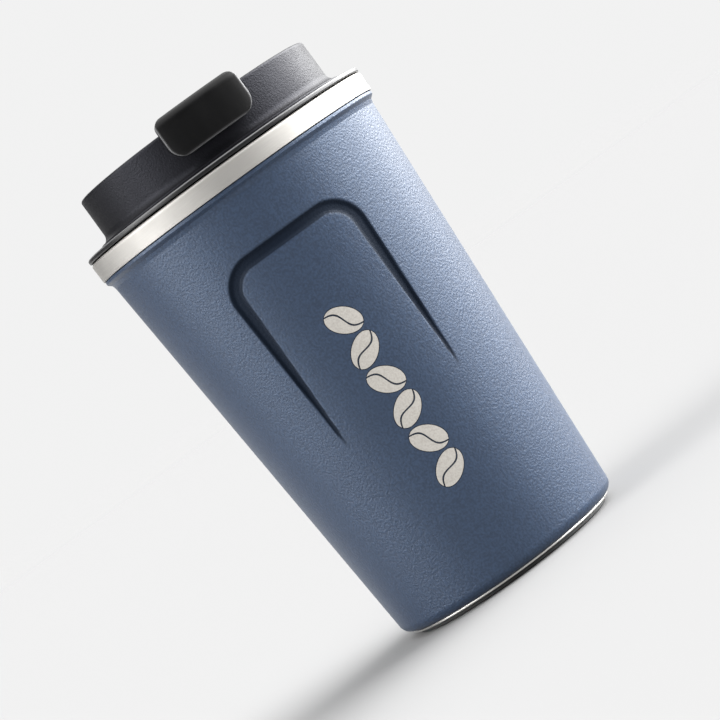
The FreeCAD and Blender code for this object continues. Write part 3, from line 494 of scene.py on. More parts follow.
def powder_coat():
    """Blue powder coat with a fine stipple, and painted shade that makes it darker and duller in the
    pressed arch's groove.
    """
    material, nodes, links, shader = new_material("powder_coat")
    place = object_coordinates(nodes, links)
    stipple = noise(nodes, links, place, 0.62, detail=0.5)
    fleck = noise(nodes, links, place, 0.34, detail=1.0)
    cloud = noise(nodes, links, place, 14.0, detail=2.0)
    groove_shade = point_mark(nodes, "groove_shade")
    tone = ramp(nodes, links, stipple, [(0.34, COAT_BLUE), (0.68, COAT_BLUE_LIGHT)])
    softened = mix_colour(nodes, links, spread(nodes, links, cloud, 0.0, 0.3), tone, COAT_BLUE)
    # painted shade: darker coat in the arch's groove
    colour = mix_colour(nodes, links, groove_shade, softened, COAT_BLUE_SHADED)
    links.new(colour, shader.inputs["Base Color"])
    rough = spread(nodes, links, fleck, 0.33, 0.47)
    rougher = maths(nodes, links, "MULTIPLY", groove_shade, 0.25)
    links.new(maths(nodes, links, "ADD", rough, rougher), shader.inputs["Roughness"])
    coarse = bump(nodes, links, stipple, 0.085, 0.8)
    links.new(bump(nodes, links, fleck, 0.035, 0.6, under=coarse), shader.inputs["Normal"])
    shader.inputs["Specular IOR Level"].default_value = 0.68
    # painted shade: gloss dimmed in the arch's groove
    gloss_with_shade = mix_colour(nodes, links, groove_shade, COAT_GLOSS, COAT_GLOSS_SHADED)
    links.new(gloss_with_shade, shader.inputs["Specular Tint"])
    return material


def brushed_steel(name, colour, lines_mm=0.09, rough=0.27):
    """Satin steel brushed round the axis: fine level lines, a little uneven in gloss."""
    material, nodes, links, shader = new_material(name)
    level = object_coordinates(nodes, links, (0.012, 0.012, 1.0))
    lines = noise(nodes, links, level, lines_mm, detail=4.0, roughness=0.7)
    patches = noise(nodes, links, object_coordinates(nodes, links), 9.0, detail=3.0)
    links.new(ramp(nodes, links, lines, [(0.35, scaled(colour, 0.84)), (0.65, colour)]),
              shader.inputs["Base Color"])
    shader.inputs["Metallic"].default_value = 1.0
    brushed = spread(nodes, links, lines, rough - 0.05, rough + 0.07)
    handled = spread(nodes, links, patches, -0.03, 0.05)
    links.new(maths(nodes, links, "ADD", brushed, handled), shader.inputs["Roughness"])
    links.new(bump(nodes, links, lines, 0.012, 0.5), shader.inputs["Normal"])
    return material


def grained_plastic(name, colour, grain_mm, depth_mm, rough, strength):
    """Black moulded plastic with a fine spark-eroded grain."""
    material, nodes, links, shader = new_material(name)
    place = object_coordinates(nodes, links)
    grain = noise(nodes, links, place, grain_mm, detail=2.5, roughness=0.6)
    cells = add_node(nodes, "ShaderNodeTexVoronoi", Scale=1 / (grain_mm * 1.4 * MM),
                     feature="SMOOTH_F1")
    links.new(place, cells.inputs["Vector"])
    cloud = noise(nodes, links, place, 11.0, detail=2.0)
    shader.inputs["Specular IOR Level"].default_value = 0.18
    shader.inputs["Specular Tint"].default_value = (*COVER_GLOSS, 1)
    links.new(ramp(nodes, links, grain, [(0.35, colour), (0.7, scaled(colour, 1.5))]),
              shader.inputs["Base Color"])
    links.new(spread(nodes, links, cloud, rough - 0.04, rough + 0.05), shader.inputs["Roughness"])
    fine = bump(nodes, links, grain, depth_mm, strength)
    links.new(bump(nodes, links, cells.outputs["Distance"], depth_mm, strength * 0.6, under=fine),
              shader.inputs["Normal"])
    return material


def satin_plastic(name, colour, rough, gloss=0.18):
    """Smooth satin plastic with faint handling marks, and a painted grey highlight along marked
    edges.
    """
    material, nodes, links, shader = new_material(name)
    fine = noise(nodes, links, object_coordinates(nodes, links), 0.16, detail=2.0)
    drawn = object_coordinates(nodes, links, (1.0, 1.0, 0.35))
    smear = noise(nodes, links, drawn, 5.0, detail=4.0)
    shader.inputs["Specular IOR Level"].default_value = gloss
    tone = ramp(nodes, links, smear, [(0.35, colour), (0.75, scaled(colour, 1.25))])
    # painted highlight: grey along the marked edges
    links.new(mix_colour(nodes, links, point_mark(nodes, "edge"), tone, HIGHLIGHT_GREY),
              shader.inputs["Base Color"])
    links.new(spread(nodes, links, smear, rough - 0.03, rough + 0.06), shader.inputs["Roughness"])
    links.new(bump(nodes, links, fine, 0.010, 0.4), shader.inputs["Normal"])
    return material


def silicone(name, colour, rough=0.5):
    """Soft silicone: a faint dusting and a slightly translucent body."""
    material, nodes, links, shader = new_material(name)
    place = object_coordinates(nodes, links)
    dust = noise(nodes, links, place, 1.6, detail=4.0)
    pores = noise(nodes, links, place, 0.2, detail=1.0)
    paler = tuple(c * 1.15 + 0.01 for c in colour)
    links.new(ramp(nodes, links, dust, [(0.4, colour), (0.75, paler)]),
              shader.inputs["Base Color"])
    links.new(spread(nodes, links, dust, rough - 0.05, rough + 0.1), shader.inputs["Roughness"])
    links.new(bump(nodes, links, pores, 0.012, 0.4), shader.inputs["Normal"])
    shader.inputs["Subsurface Weight"].default_value = 0.12
    shader.inputs["Subsurface Scale"].default_value = 0.0015
    return material


def etched_cream():
    """Flat cream of the beans, a little uneven where the coat's grain shows through."""
    material, nodes, links, shader = new_material("etched_cream")
    grain = noise(nodes, links, object_coordinates(nodes, links), 0.5, detail=3.0)
    links.new(ramp(nodes, links, grain, [(0.3, CREAM), (0.62, CREAM_LIGHT)]),
              shader.inputs["Base Color"])
    links.new(spread(nodes, links, grain, 0.5, 0.65), shader.inputs["Roughness"])
    links.new(bump(nodes, links, grain, 0.04, 0.4), shader.inputs["Normal"])
    return material


def bean_shadow_edge():
    """Painted shadow: a dark outline along the edge of the beans."""
    material, nodes, links, shader = new_material("bean_shadow_edge")
    grain = noise(nodes, links, object_coordinates(nodes, links), 0.4, detail=3.0)
    links.new(ramp(nodes, links, grain, [(0.3, OUTLINE_SHADE), (0.7, OUTLINE_SHADE_LIGHT)]),
              shader.inputs["Base Color"])
    links.new(spread(nodes, links, grain, 0.5, 0.7), shader.inputs["Roughness"])
    links.new(bump(nodes, links, grain, 0.03, 0.5), shader.inputs["Normal"])
    shader.inputs["Specular IOR Level"].default_value = 0.2
    return material


def sintered_grey(name, colour, metallic, rough):
    """Grainy grey of the small pieces sealed between the walls."""
    material, nodes, links, shader = new_material(name)
    grain = noise(nodes, links, object_coordinates(nodes, links), 0.35, detail=4.0)
    links.new(ramp(nodes, links, grain, [(0.35, scaled(colour, 0.6)), (0.65, colour)]),
              shader.inputs["Base Color"])
    shader.inputs["Metallic"].default_value = metallic
    links.new(spread(nodes, links, grain, rough - 0.08, rough + 0.1), shader.inputs["Roughness"])
    links.new(bump(nodes, links, grain, 0.03, 0.5), shader.inputs["Normal"])
    return material


# -------------------------------- cup

def arch_press(x, level):
    """How far the arch is pressed in, and how strong its painted shade is, at x from the front's
    middle.
    """
    x = np.abs(x)
    corner_x = ARCH_HALF_WIDTH - ARCH_ROUND
    corner_z = ARCH_TOP - ARCH_ROUND
    down = np.clip((corner_z - level) / (corner_z - ARCH_TIP), 0, 1)
    leg = ARCH_HALF_WIDTH + (ARCH_TIP_HALF_WIDTH - ARCH_HALF_WIDTH) * down
    on_leg = np.abs(x - leg)
    on_bar = np.abs(level - ARCH_TOP)
    on_corner = np.abs(np.hypot(x - corner_x, level - corner_z) - ARCH_ROUND)
    away = np.where(level < corner_z, on_leg, np.where(x < corner_x, on_bar, on_corner))
    half = ARCH_HALF_BAND * (1 - LEG_THINNING * down ** LEG_THINNING_POWER)
    above_tip = level > ARCH_TIP
    press = (1 - smoothstep(*PRESS_FADE, away / half)) * smoothstep(0.0, PRESS_RUNOUT, 1 - down)
    # painted shade: reaches past the groove's slopes so that they catch no highlight
    tone = (1 - smoothstep(*SHADE_FADE, away / half)) * smoothstep(0.0, SHADE_RUNOUT, 1 - down)
    return press * above_tip, tone * above_tip


def body_columns():
    """Azimuths round the cup, close together where the arch is pressed on front and back."""
    fine = np.radians(np.arange(-ARCH_SECTOR, ARCH_SECTOR, 0.5))
    coarse = np.radians(np.arange(ARCH_SECTOR, 180 - ARCH_SECTOR, 2.0))
    return np.concatenate([fine, coarse, fine + math.pi, coarse + math.pi])


def shell_profile():
    """(r, z) outline of the outer wall: up the outside, and down the inside."""
    rows = np.concatenate([
        np.arange(8, ARCH_TIP - 2, PLAIN_ROW),
        np.arange(ARCH_TIP - 2, ARCH_TOP + 6, ARCH_ROW),
        np.arange(ARCH_TOP + 7, SWELL_LEVEL, PLAIN_ROW),
    ])
    foot = rounded_outline([
        (SOLE_RADIUS, UNDERSIDE, 0), (wall_radius(UNDERSIDE), UNDERSIDE, FOOT_ROUND),
        (wall_radius(FOOT_TOP), FOOT_TOP, 0), (SOLE_RADIUS, FOOT_TOP, 0),
    ], step=7)
    behind = 43.0                # closes the bead's outline inside the wall, and is left out
    bead = rounded_outline([
        (wall_radius(SWELL_LEVEL), SWELL_LEVEL, 0), (TOP_RADIUS, TOP_LEVEL, 1.5),
        (BEAD_RADIUS, BEAD_FOOT, 0.35), (BEAD_RADIUS, BEAD_TOP, 0.35),
        (NECK_RADIUS, BEAD_TOP, 0), (behind, SWELL_LEVEL, 0),
    ], step=7)
    outside = [(SOLE_RADIUS, UNDERSIDE)]
    outside += [tuple(p) for p in foot if p[0] > SOLE_RADIUS + 0.1 and p[1] < FOOT_TOP - 0.1]
    outside += [(wall_radius(z), z) for z in rows]
    outside += [tuple(p) for p in bead if p[1] > SWELL_LEVEL + 0.05 and p[0] > behind + 0.02]
    outside += [(NECK_RADIUS, SHELL_HIGH.z), (NECK_INNER, SHELL_HIGH.z)]
    inside = [(NECK_INNER, BEAD_TOP - STEEL), (TOP_RADIUS - STEEL, TOP_LEVEL)]
    inside += [(wall_radius(z) - STEEL, z) for z in rows[::-1]]
    inside += [(wall_radius(5.5) - STEEL, 5.5), (wall_radius(3.6) - STEEL - 0.9, 3.2),
               (SOLE_RADIUS, UNDERSIDE + STEEL)]
    return np.array(outside + inside)


def cup_shell():
    """Tapered wall with the arch pressed through both of its faces."""
    profile = shell_profile()
    angles = body_columns()
    rows, columns = len(profile), len(angles)
    r = profile[:, 0][:, None] * np.ones(columns)
    z = profile[:, 1][:, None] * np.ones(columns)
    side = np.where(np.cos(angles) > 0, 1.0, -1.0)
    press, tone = arch_press(wall_radius(z) * np.sin(angles) * side, z)
    off_wall = np.abs(profile[:, 0] - wall_radius(profile[:, 1])) > STEEL + 0.05
    press[off_wall] = 0
    tone[off_wall] = 0
    r = r - press * ARCH_DEPTH
    points = np.stack([r * np.sin(angles), -r * np.cos(angles), z], 2).reshape(-1, 3)
    faces = []
    for i in range(rows):
        faces += between_rings(i * columns, (i + 1) % rows * columns, columns)
    mesh = mesh_from("cup_shell", points, faces)
    face_outward(mesh)
    # painted shade in the groove, kept at each point for the coat
    mark_points(mesh, "groove_shade", (tone * ARCH_SHADE).ravel())
    return smooth_object("cup_shell", mesh, 50)


def mouth_band():
    """Bare steel band with a rolled upper edge."""
    low, high, radius = BAND_LOW.z, BAND_HIGH.z, BAND_HIGH.x
    foot = radius - BAND_LEAN
    return turned("mouth_band", [
        (foot - STEEL, low, 0), (foot, low, 0.15), (radius, high, 0.9), (BAND_MOUTH, high, 0),
        (BAND_MOUTH, high - STEEL, 0), (foot - STEEL, high - STEEL, 0.4),
    ], columns=360)


def foot_cap():
    """Bare steel cover at the foot, its edge rolled over."""
    low, high, radius = CAP_LOW.z, CAP_HIGH.z, CAP_HIGH.x
    return turned("foot_cap", [
        (0, low, 0), (radius, low, 0.25), (radius, high, 0.1), (0, high, 0),
    ])


def foot_pad():
    """Anti-slip pad with a bevelled edge, three shallow rings and a dished middle."""
    low, high, radius = PAD_LOW.z, PAD_HIGH.z, PAD_HIGH.x
    dish, floor = low + DISH_DEPTH, low + GROOVE_DEPTH
    corners = [(0, dish, 0), (DISH_RADIUS, dish, 0.3), (DISH_EDGE, low, 0.3)]
    for ring in GROOVES:
        end = ring + GROOVE_WIDTH
        corners += [(ring, low, 0.15), (ring + GROOVE_SLOPE, floor, 0.12),
                    (end - GROOVE_SLOPE, floor, 0.12), (end, low, 0.15)]
    corners += [(radius, low, 0.45), (radius, high, 0.1), (0, high, 0)]
    return turned("foot_pad", corners)


def bean_half(side, length, width, tilt, centre_z, lift, cleft):
    """One half of a bean, wrapped on the cup: points of its grid, from the cleft to the rim."""
    rows, columns = 30, 7
    u = np.linspace(-1, 1, rows)
    rim = width / 2 * np.sqrt(np.clip(1 - u ** 2, 0, 1))
    wave = np.sin(u * math.pi * CLEFT_WAVES)
    middle = CLEFT_SWING * width * wave * np.sqrt(np.clip(1 - u ** 4, 0, 1))
    inner = middle + side * cleft / 2
    outer = side * np.maximum(rim, np.abs(inner) * (side * inner > 0))
    share = np.linspace(0, 1, columns)[None, :]
    x = inner[:, None] * (1 - share) + outer[:, None] * share
    y = (u * length / 2)[:, None] * np.ones((1, columns))
    c, s = math.cos(tilt), math.sin(tilt)
    across = x * c - y * s
    level = centre_z + x * s + y * c
    radius = wall_radius(level) + lift
    turn = across / radius
    return np.stack([radius * np.sin(turn), -radius * np.cos(turn), level], 2)


def bean_mark(name, margin, lift):
    """A column of plain coffee beans that lean left and right in turn, just proud of the coat."""
    pitch = (MARK_HIGH - MARK_LOW) / BEANS
    length, width = BEAN_LENGTH + 2 * margin, BEAN_WIDTH + 2 * margin
    cleft = BEAN_CLEFT - 2 * margin
    points, faces = [], []
    for i in range(BEANS):
        centre = MARK_LOW + pitch * (i + 0.5)
        tilt = BEAN_TILT if i % 2 else -BEAN_TILT
        for side in (-1, 1):
            top = bean_half(side, length, width, tilt, centre, lift, cleft)
            foot = bean_half(side, length, width, tilt, centre, BEAN_ROOT, cleft)
            add_slab(points, faces, top, foot)
    mesh = mesh_from(name, np.concatenate(points), faces)
    clean_mesh(mesh)
    return smooth_object(name, mesh, 30)


def add_slab(points, faces, top, foot):
    """A closed slab between two grids of points."""
    rows, columns = top.shape[:2]
    start = sum(len(p) for p in points)
    points += [top.reshape(-1, 3), foot.reshape(-1, 3)]
    size = rows * columns

    def at(row, column, layer):
        return start + layer * size + row * columns + column

    for i in range(rows - 1):
        for j in range(columns - 1):
            faces.append((at(i, j, 0), at(i, j + 1, 0), at(i + 1, j + 1, 0), at(i + 1, j, 0)))
            faces.append((at(i, j, 1), at(i + 1, j, 1), at(i + 1, j + 1, 1), at(i, j + 1, 1)))
    rim = [(0, j) for j in range(columns)] + [(i, columns - 1) for i in range(1, rows)]
    rim += [(rows - 1, j) for j in range(columns - 2, -1, -1)]
    rim += [(i, 0) for i in range(rows - 2, 0, -1)]
    for (a, b), (c, d) in zip(rim, rim[1:] + rim[:1]):
        faces.append((at(a, b, 0), at(a, b, 1), at(c, d, 1), at(c, d, 0)))


def clean_mesh(mesh):
    """Merge points that meet, drop faces without area and turn the rest outward."""
    shape = bmesh.new()
    shape.from_mesh(mesh)
    bmesh.ops.remove_doubles(shape, verts=shape.verts, dist=0.02 * MM)
    bmesh.ops.dissolve_degenerate(shape, edges=shape.edges, dist=0.005 * MM)
    bmesh.ops.recalc_face_normals(shape, faces=shape.faces)
    shape.to_mesh(mesh)
    shape.free()


# -------------------------------- lid

def grained_cover():
    """Upper lid shell: wall on a cove, rolled rim, dished deck, gasket holes and hinge ears."""
    low, top, foot_radius = COVER_LOW.z, COVER_HIGH.z, COVER_HIGH.x
    under_deck = DECK_LEVEL - DECK_THICKNESS
    cover = turned("grained_cover", [
        (WALL_INNER, low, 0), (foot_radius, low, 0.1), (foot_radius, COVE_LEVEL, 0.22),
        (WALL_FOOT, COVE_LEVEL, 2.3), (WALL_TOP, top, 0.8), (WALL_INNER, top, 0.8),
        (WALL_INNER, DECK_LEVEL, 2.0), (0, DECK_LEVEL, 0), (0, under_deck, 0),
        (WALL_INNER, under_deck, 0.3),
    ], columns=320)
    for side in (-1, 1):
        combine(cover, hinge_ear(side), "UNION")
    combine(cover, cylinder_tool("hole", SPOUT_HOLE, *DECK_CUT, SPOUT_FORWARD), "DIFFERENCE")
    combine(cover, cylinder_tool("vent", VENT_HOLE, *DECK_CUT, VENT_FORWARD), "DIFFERENCE")
    return shade_smooth(place_in_lid(cover))


def hinge_ear(side):
    """A rounded ear with softened edges, standing on the deck."""
    inner = KNUCKLE_HALF + LUG_GAP
    x0, x1 = sorted((side * inner, side * (inner + LUG_WIDTH)))
    low = DECK_LEVEL - EAR_SINK
    front, back = HINGE_BACK - EAR_RADIUS, HINGE_BACK + EAR_RADIUS
    outline = [(front - EAR_FLARE, low), (back + EAR_FLARE, low), (back, low + EAR_SKIRT)]
    for k in range(17):
        angle = math.pi * k / 16
        outline.append((HINGE_BACK + EAR_RADIUS * math.cos(angle),
                        HINGE_LEVEL + EAR_RADIUS * math.sin(angle)))
    outline.append((front, low + EAR_SKIRT))
    count = len(outline)
    points = [(x, y, z) for x in (x0, x1) for y, z in outline]
    faces = [tuple(range(count)), tuple(range(count, 2 * count))]
    faces += between_rings(0, count, count)
    mesh = mesh_from("ear", points, faces)
    shape = bmesh.new()
    shape.from_mesh(mesh)
    bmesh.ops.recalc_face_normals(shape, faces=shape.faces)
    rims = [e for e in shape.edges if len(e.link_faces) == 2 and e.calc_face_angle() > 1.2]
    bmesh.ops.bevel(shape, geom=rims, offset=EAR_BEVEL * MM, segments=3, profile=0.5,
                    affect="EDGES")
    shape.to_mesh(mesh)
    shape.free()
    return smooth_object("ear", mesh)


def flange_and_plug():
    """Flange, plug wall with its thread, floor and tubes of the lid's lower moulding."""
    low, radius = FLANGE_LOW.z, FLANGE_HIGH.x
    base = turned("flange_and_plug", [
        (0, low, 0), (PLUG_OUTER, low, 0.9), (PLUG_OUTER, WAIST_FOOT, 0.2),
        (WAIST_RADIUS, WAIST_FOOT, 0.1), (WAIST_RADIUS, FLANGE_FOOT, 0.1),
        (radius, FLANGE_FOOT, 0.3), (radius, FLANGE_EDGE, 0.55), (RIDGE_OUTER, RIDGE_TOP, 0),
        (RIDGE_INNER, FLANGE_DISH, 0.1), (SPIGOT_OUTER, FLANGE_DISH, 0.1),
        (SPIGOT_OUTER, SPIGOT_TOP, 0.2), (SPIGOT_INNER, SPIGOT_TOP, 0.2),
        (SPIGOT_INNER, FLANGE_FOOT, 0.5), (PLUG_INNER, PLUG_SHOULDER, 0.5),
        (PLUG_INNER, PLUG_FLOOR, 0.9), (0, PLUG_FLOOR, 0),
    ], columns=360)
    for name, tool_radius, span, forward, operation in (
            ("tube", SPOUT_TUBE, TUBE_SPAN, SPOUT_FORWARD, "UNION"),
            ("vent_tube", VENT_TUBE, TUBE_SPAN, VENT_FORWARD, "UNION"),
            ("bore", SPOUT_BORE, BORE_SPAN, SPOUT_FORWARD, "DIFFERENCE"),
            ("vent_bore", VENT_BORE, BORE_SPAN, VENT_FORWARD, "DIFFERENCE")):
        combine(base, cylinder_tool(name, tool_radius, *span, forward), operation)
    combine(base, plug_thread(), "UNION")
    # painted highlight line along the flange's upper edge
    paint_flange_highlight(base.data)
    return shade_smooth(place_in_lid(base))


def paint_flange_highlight(mesh):
    """Mark a painted highlight line along the flange's upper edge."""
    values = []
    for vertex in mesh.vertices:
        radius = math.hypot(vertex.co.x, vertex.co.y) / MM
        upper = vertex.co.z / MM > FLANGE_HIGHLIGHT_LEVEL
        values.append(near(radius, FLANGE_HIGHLIGHT_RADIUS, FLANGE_HIGHLIGHT_WIDTH) if upper else 0.0)
    mark_points(mesh, "edge", values)


def plug_thread():
    """A single-start helical ridge that runs out at both ends."""
    steps = 180
    points, faces = [], []
    for i in range(steps + 1):
        share = i / steps
        angle = 2 * math.pi * THREAD_RISE / THREAD_PITCH * share
        full = min(1.0, share / THREAD_RUNOUT + 0.02, (1 - share) / THREAD_RUNOUT + 0.02)
        tip = THREAD_ROOT + (THREAD_CREST - THREAD_ROOT) * max(full, 0.25)
        mid = THREAD_START + THREAD_RISE * share
        for radius, offset in ((THREAD_ROOT, -THREAD_ROOT_HALF), (tip, -THREAD_CREST_HALF),
                               (tip, THREAD_CREST_HALF), (THREAD_ROOT, THREAD_ROOT_HALF)):
            points.append((radius * math.cos(angle), radius * math.sin(angle), mid + offset))
    for i in range(steps):
        faces += between_rings(4 * i, 4 * i + 4, 4)
    faces += [(0, 1, 2, 3), tuple(4 * steps + k for k in (3, 2, 1, 0))]
    mesh = mesh_from("plug_thread", points, faces)
    face_outward(mesh)
    return smooth_object("plug_thread", mesh, 25)


def gasket_piece(name, forward, foot, top, radius, lip):
    """Silicone seat in the deck: radii of its bore at foot and top, of its body and of its lip."""
    lip_top = DECK_LEVEL + SEAT_LIP
    return place_in_lid(turned(name, [
        (foot, SEAT_FOOT, 0.15), (radius, SEAT_FOOT, 0.1), (radius, DECK_LEVEL, 0.05),
        (lip, DECK_LEVEL, 0.15), (lip, lip_top, 0.25), (top, lip_top, 0.25),
    ], columns=128), forward)


def hinge_rod():
    """Steel pin with chamfered ends, laid through both ears."""
    half = KNUCKLE_HALF + LUG_GAP + LUG_WIDTH
    return place_in_lid(lay_in_hinge(turned("hinge_rod", [
        (0, -half, 0), (PIN_RADIUS, -half, 0.25), (PIN_RADIUS, half, 0.25), (0, half, 0),
    ], columns=64)))


# -------------------------------- tongue

def tongue_stations():
    """Stations from the knuckle to the tab's foot: (y, z) of the outside, normal, half thickness."""
    start = np.array([HINGE_BACK, HINGE_LEVEL + KNUCKLE_RADIUS])
    slope = math.atan2(TONGUE_TOP - start[1], TAB_OUTER - KNUCKLE_RADIUS + HINGE_BACK)
    ahead = np.array([-math.cos(slope), math.sin(slope)])
    above = np.array([math.sin(slope), math.cos(slope)])
    run = (TAB_OUTER - TAB_BEND + HINGE_BACK) / math.cos(slope)
    run -= TAB_BEND * math.tan(slope) * 0.5
    stations = [(start + ahead * run * share, above, STRAP_HALF)
                for share in np.linspace(0, 1, STRAP_ROWS)]
    centre = stations[-1][0] - above * TAB_BEND
    first, last = math.atan2(above[1], above[0]), math.pi
    for k in range(1, BEND_ROWS + 1):
        angle = first + (last - first) * k / BEND_ROWS
        outward = np.array([math.cos(angle), math.sin(angle)])
        thick = STRAP_HALF - (STRAP_HALF - TAB_HALF) * k / BEND_ROWS
        stations.append((centre + outward * TAB_BEND, outward, thick))
    face = stations[-1][0]
    for left in ((face[1] - TAB_FOOT) * TAB_FIRST_ROW, *TAB_ROWS):
        stations.append((np.array([face[0], TAB_FOOT + left]), np.array([-1.0, 0.0]), TAB_HALF))
    return stations


def half_width(forward, below_top):
    """Half width of the tongue: the strap widens forward, and the tab has rounded shoulders."""
    tab = TAB_HALF_WIDTH - TAB_SHOULDER
    strap = KNUCKLE_HALF + (tab - KNUCKLE_HALF) * smoothstep(*STRAP_WIDENS, forward)
    return strap + TAB_SHOULDER - arc_inset(below_top, TAB_SHOULDER)


def section(half, thick, edge):
    """Rounded rectangle across the tongue as (x, depth below the outer face)."""
    edge = min(edge, thick * 0.95)
    side, back = half - edge, 2 * thick
    steps = 5
    quarter = [math.pi / 2 * k / steps for k in range(steps)]
    inner = quarter[1:]
    flat = np.linspace(-side, side, 15)
    loop = [(x, 0.0) for x in flat]
    loop += [(side + edge * math.sin(a), edge - edge * math.cos(a)) for a in inner]
    loop += [(side + edge * math.cos(a), back - edge + edge * math.sin(a)) for a in quarter]
    loop += [(x, back) for x in flat[::-1]]
    loop += [(-side - edge * math.sin(a), back - edge + edge * math.cos(a)) for a in inner]
    loop += [(-side - edge * math.cos(a), edge - edge * math.sin(a)) for a in quarter]
    return loop


def tongue_plate():
    """The strap and tab as one rounded plate, bent over the rim and curved with the lid's wall."""
    loops, highlight_line = [], []
    for outside, normal, thick in tongue_stations():
        forward = -outside[0]
        hangs = normal[0] < -0.999
        left = outside[1] - TAB_FOOT if hangs else math.inf
        below = max(TONGUE_TOP - outside[1], 0.0) if forward > TAB_OUTER - TAB_BEND else 0.0
        shrink = arc_inset(left, EDGE_ROUND)
        half = float(half_width(forward, below)) - arc_inset(left, TAB_CORNER) - shrink * EDGE_TUCK
        highlight_reach, wrap = smoothstep(*HIGHLIGHT_SPAN, forward), smoothstep(*STRAP_CURVES, forward)
        loop = []
        for x, inward in section(half, thick - shrink, EDGE_ROUND):
            depth = inward + shrink
            # painted highlight line along the rounded edge, fading in towards the tab
            highlight_line.append(near(depth, HIGHLIGHT_DEPTH, HIGHLIGHT_WIDTH) * highlight_reach
                          if depth < EDGE_ROUND else 0.0)
            point = outside - normal * depth
            curve = wrap * (TAB_OUTER - math.sqrt(TAB_OUTER ** 2 - x * x))
            loop.append((x, point[0] + curve, point[1]))
        loops.append(loop)
    count = len(loops[0])
    last = (len(loops) - 1) * count
    faces = []
    for start in range(0, last, count):
        faces += between_rings(start, start + count, count)
    faces += [tuple(range(count)), tuple(range(last, last + count))]
    mesh = mesh_from("satin_tongue", [p for loop in loops for p in loop], faces)
    face_outward(mesh)
    mark_points(mesh, "edge", highlight_line)
    return smooth_object("satin_tongue", mesh)


def satin_tongue():
    """Tongue with its knuckle round the hinge pin."""
    plate = tongue_plate()
    barrel = turned("barrel", [
        (0, -KNUCKLE_HALF, 0), (KNUCKLE_RADIUS, -KNUCKLE_HALF, 0.4),
        (KNUCKLE_RADIUS, KNUCKLE_HALF, 0.4), (0, KNUCKLE_HALF, 0),
    ], columns=72)
    drill = cylinder_tool("drill", PIN_HOLE, -DRILL_HALF, DRILL_HALF, columns=48)
    combine(plate, lay_in_hinge(barrel), "UNION")
    combine(plate, lay_in_hinge(drill), "DIFFERENCE")
    return shade_smooth(place_in_lid(plate), 40)


def stopper_piece(name, forward, tip, tip_radius, root_radius, disc, stem, stem_top):
    """Silicone stopper with its sealing disc and stem; tip and stem_top are levels."""
    return place_in_lid(turned(name, [
        (0, tip, 0), (tip_radius, tip, 0.5), (root_radius, STOPPER_SHOULDER, 0.1),
        (disc, STOPPER_SHOULDER, 0.25), (disc, STOPPER_TOP, 0.25), (stem, STOPPER_TOP, 0.1),
        (stem, stem_top, 0.1), (0, stem_top, 0),
    ], columns=128), forward)


# -------------------------------- stage, light and camera

def set_camera():
    """Long lens from just above the mug's middle, rolled so that the mug leans to the left."""
    back = Vector((math.sin(CAMERA_AZIMUTH) * math.cos(CAMERA_ELEVATION),
                   -math.cos(CAMERA_AZIMUTH) * math.cos(CAMERA_ELEVATION),
                   math.sin(CAMERA_ELEVATION)))
    level = Vector((math.cos(CAMERA_AZIMUTH), math.sin(CAMERA_AZIMUTH), 0))
    rise = back.cross(level)
    right = level * math.cos(CAMERA_ROLL) + rise * math.sin(CAMERA_ROLL)
    up = -level * math.sin(CAMERA_ROLL) + rise * math.cos(CAMERA_ROLL)
    place = Vector((0, 0, AIM_LEVEL)) + level * AIM_RIGHT + back * CAMERA_DISTANCE
    data = bpy.data.cameras.new("camera")
    data.lens = CAMERA_LENS
    data.sensor_width = CAMERA_SENSOR
    data.clip_start, data.clip_end = 0.05, 100
    camera = bpy.data.objects.new("camera", data)
    axes = Matrix((right, up, back)).transposed().to_4x4()
    camera.matrix_world = Matrix.Translation(place) @ axes
    bpy.context.scene.collection.objects.link(camera)
    bpy.context.scene.camera = camera


def pale_floor():
    """A wide plain floor that melts into the equally pale room before the horizon."""
    half = FLOOR_GONE * 1.2
    corners = [(-half, -half, 0), (half, -half, 0), (half, half, 0), (-half, half, 0)]
    mesh = bpy.data.meshes.new("floor")
    mesh.from_pydata(corners, [], [(0, 1, 2, 3)])
    floor = bpy.data.objects.new("floor", mesh)
    bpy.context.scene.collection.objects.link(floor)
    material, nodes, links, shader = new_material("pale_floor")
    shader.inputs["Base Color"].default_value = (*[FLOOR_ALBEDO] * 3, 1)
    shader.inputs["Roughness"].default_value = 1.0
    shader.inputs["Specular IOR Level"].default_value = 0.0
    reach = add_node(nodes, "ShaderNodeVectorMath", operation="LENGTH")
    links.new(object_coordinates(nodes, links), reach.inputs[0])
    gone = spread(nodes, links, reach.outputs["Value"], 0.0, 1.0, FLOOR_FULL, FLOOR_GONE,
                  smooth=True)
    melt = nodes.new("ShaderNodeMixShader")
    links.new(gone, melt.inputs[0])
    links.new(shader.outputs[0], melt.inputs[1])
    links.new(nodes.new("ShaderNodeBsdfTransparent").outputs[0], melt.inputs[2])
    links.new(melt.outputs[0], nodes["Material Output"].inputs["Surface"])
    paint(floor, material)


def room_grey(level):
    """The grey that ROOM_SCALE turns into a radiance."""
    return (level / ROOM_SCALE,) * 3


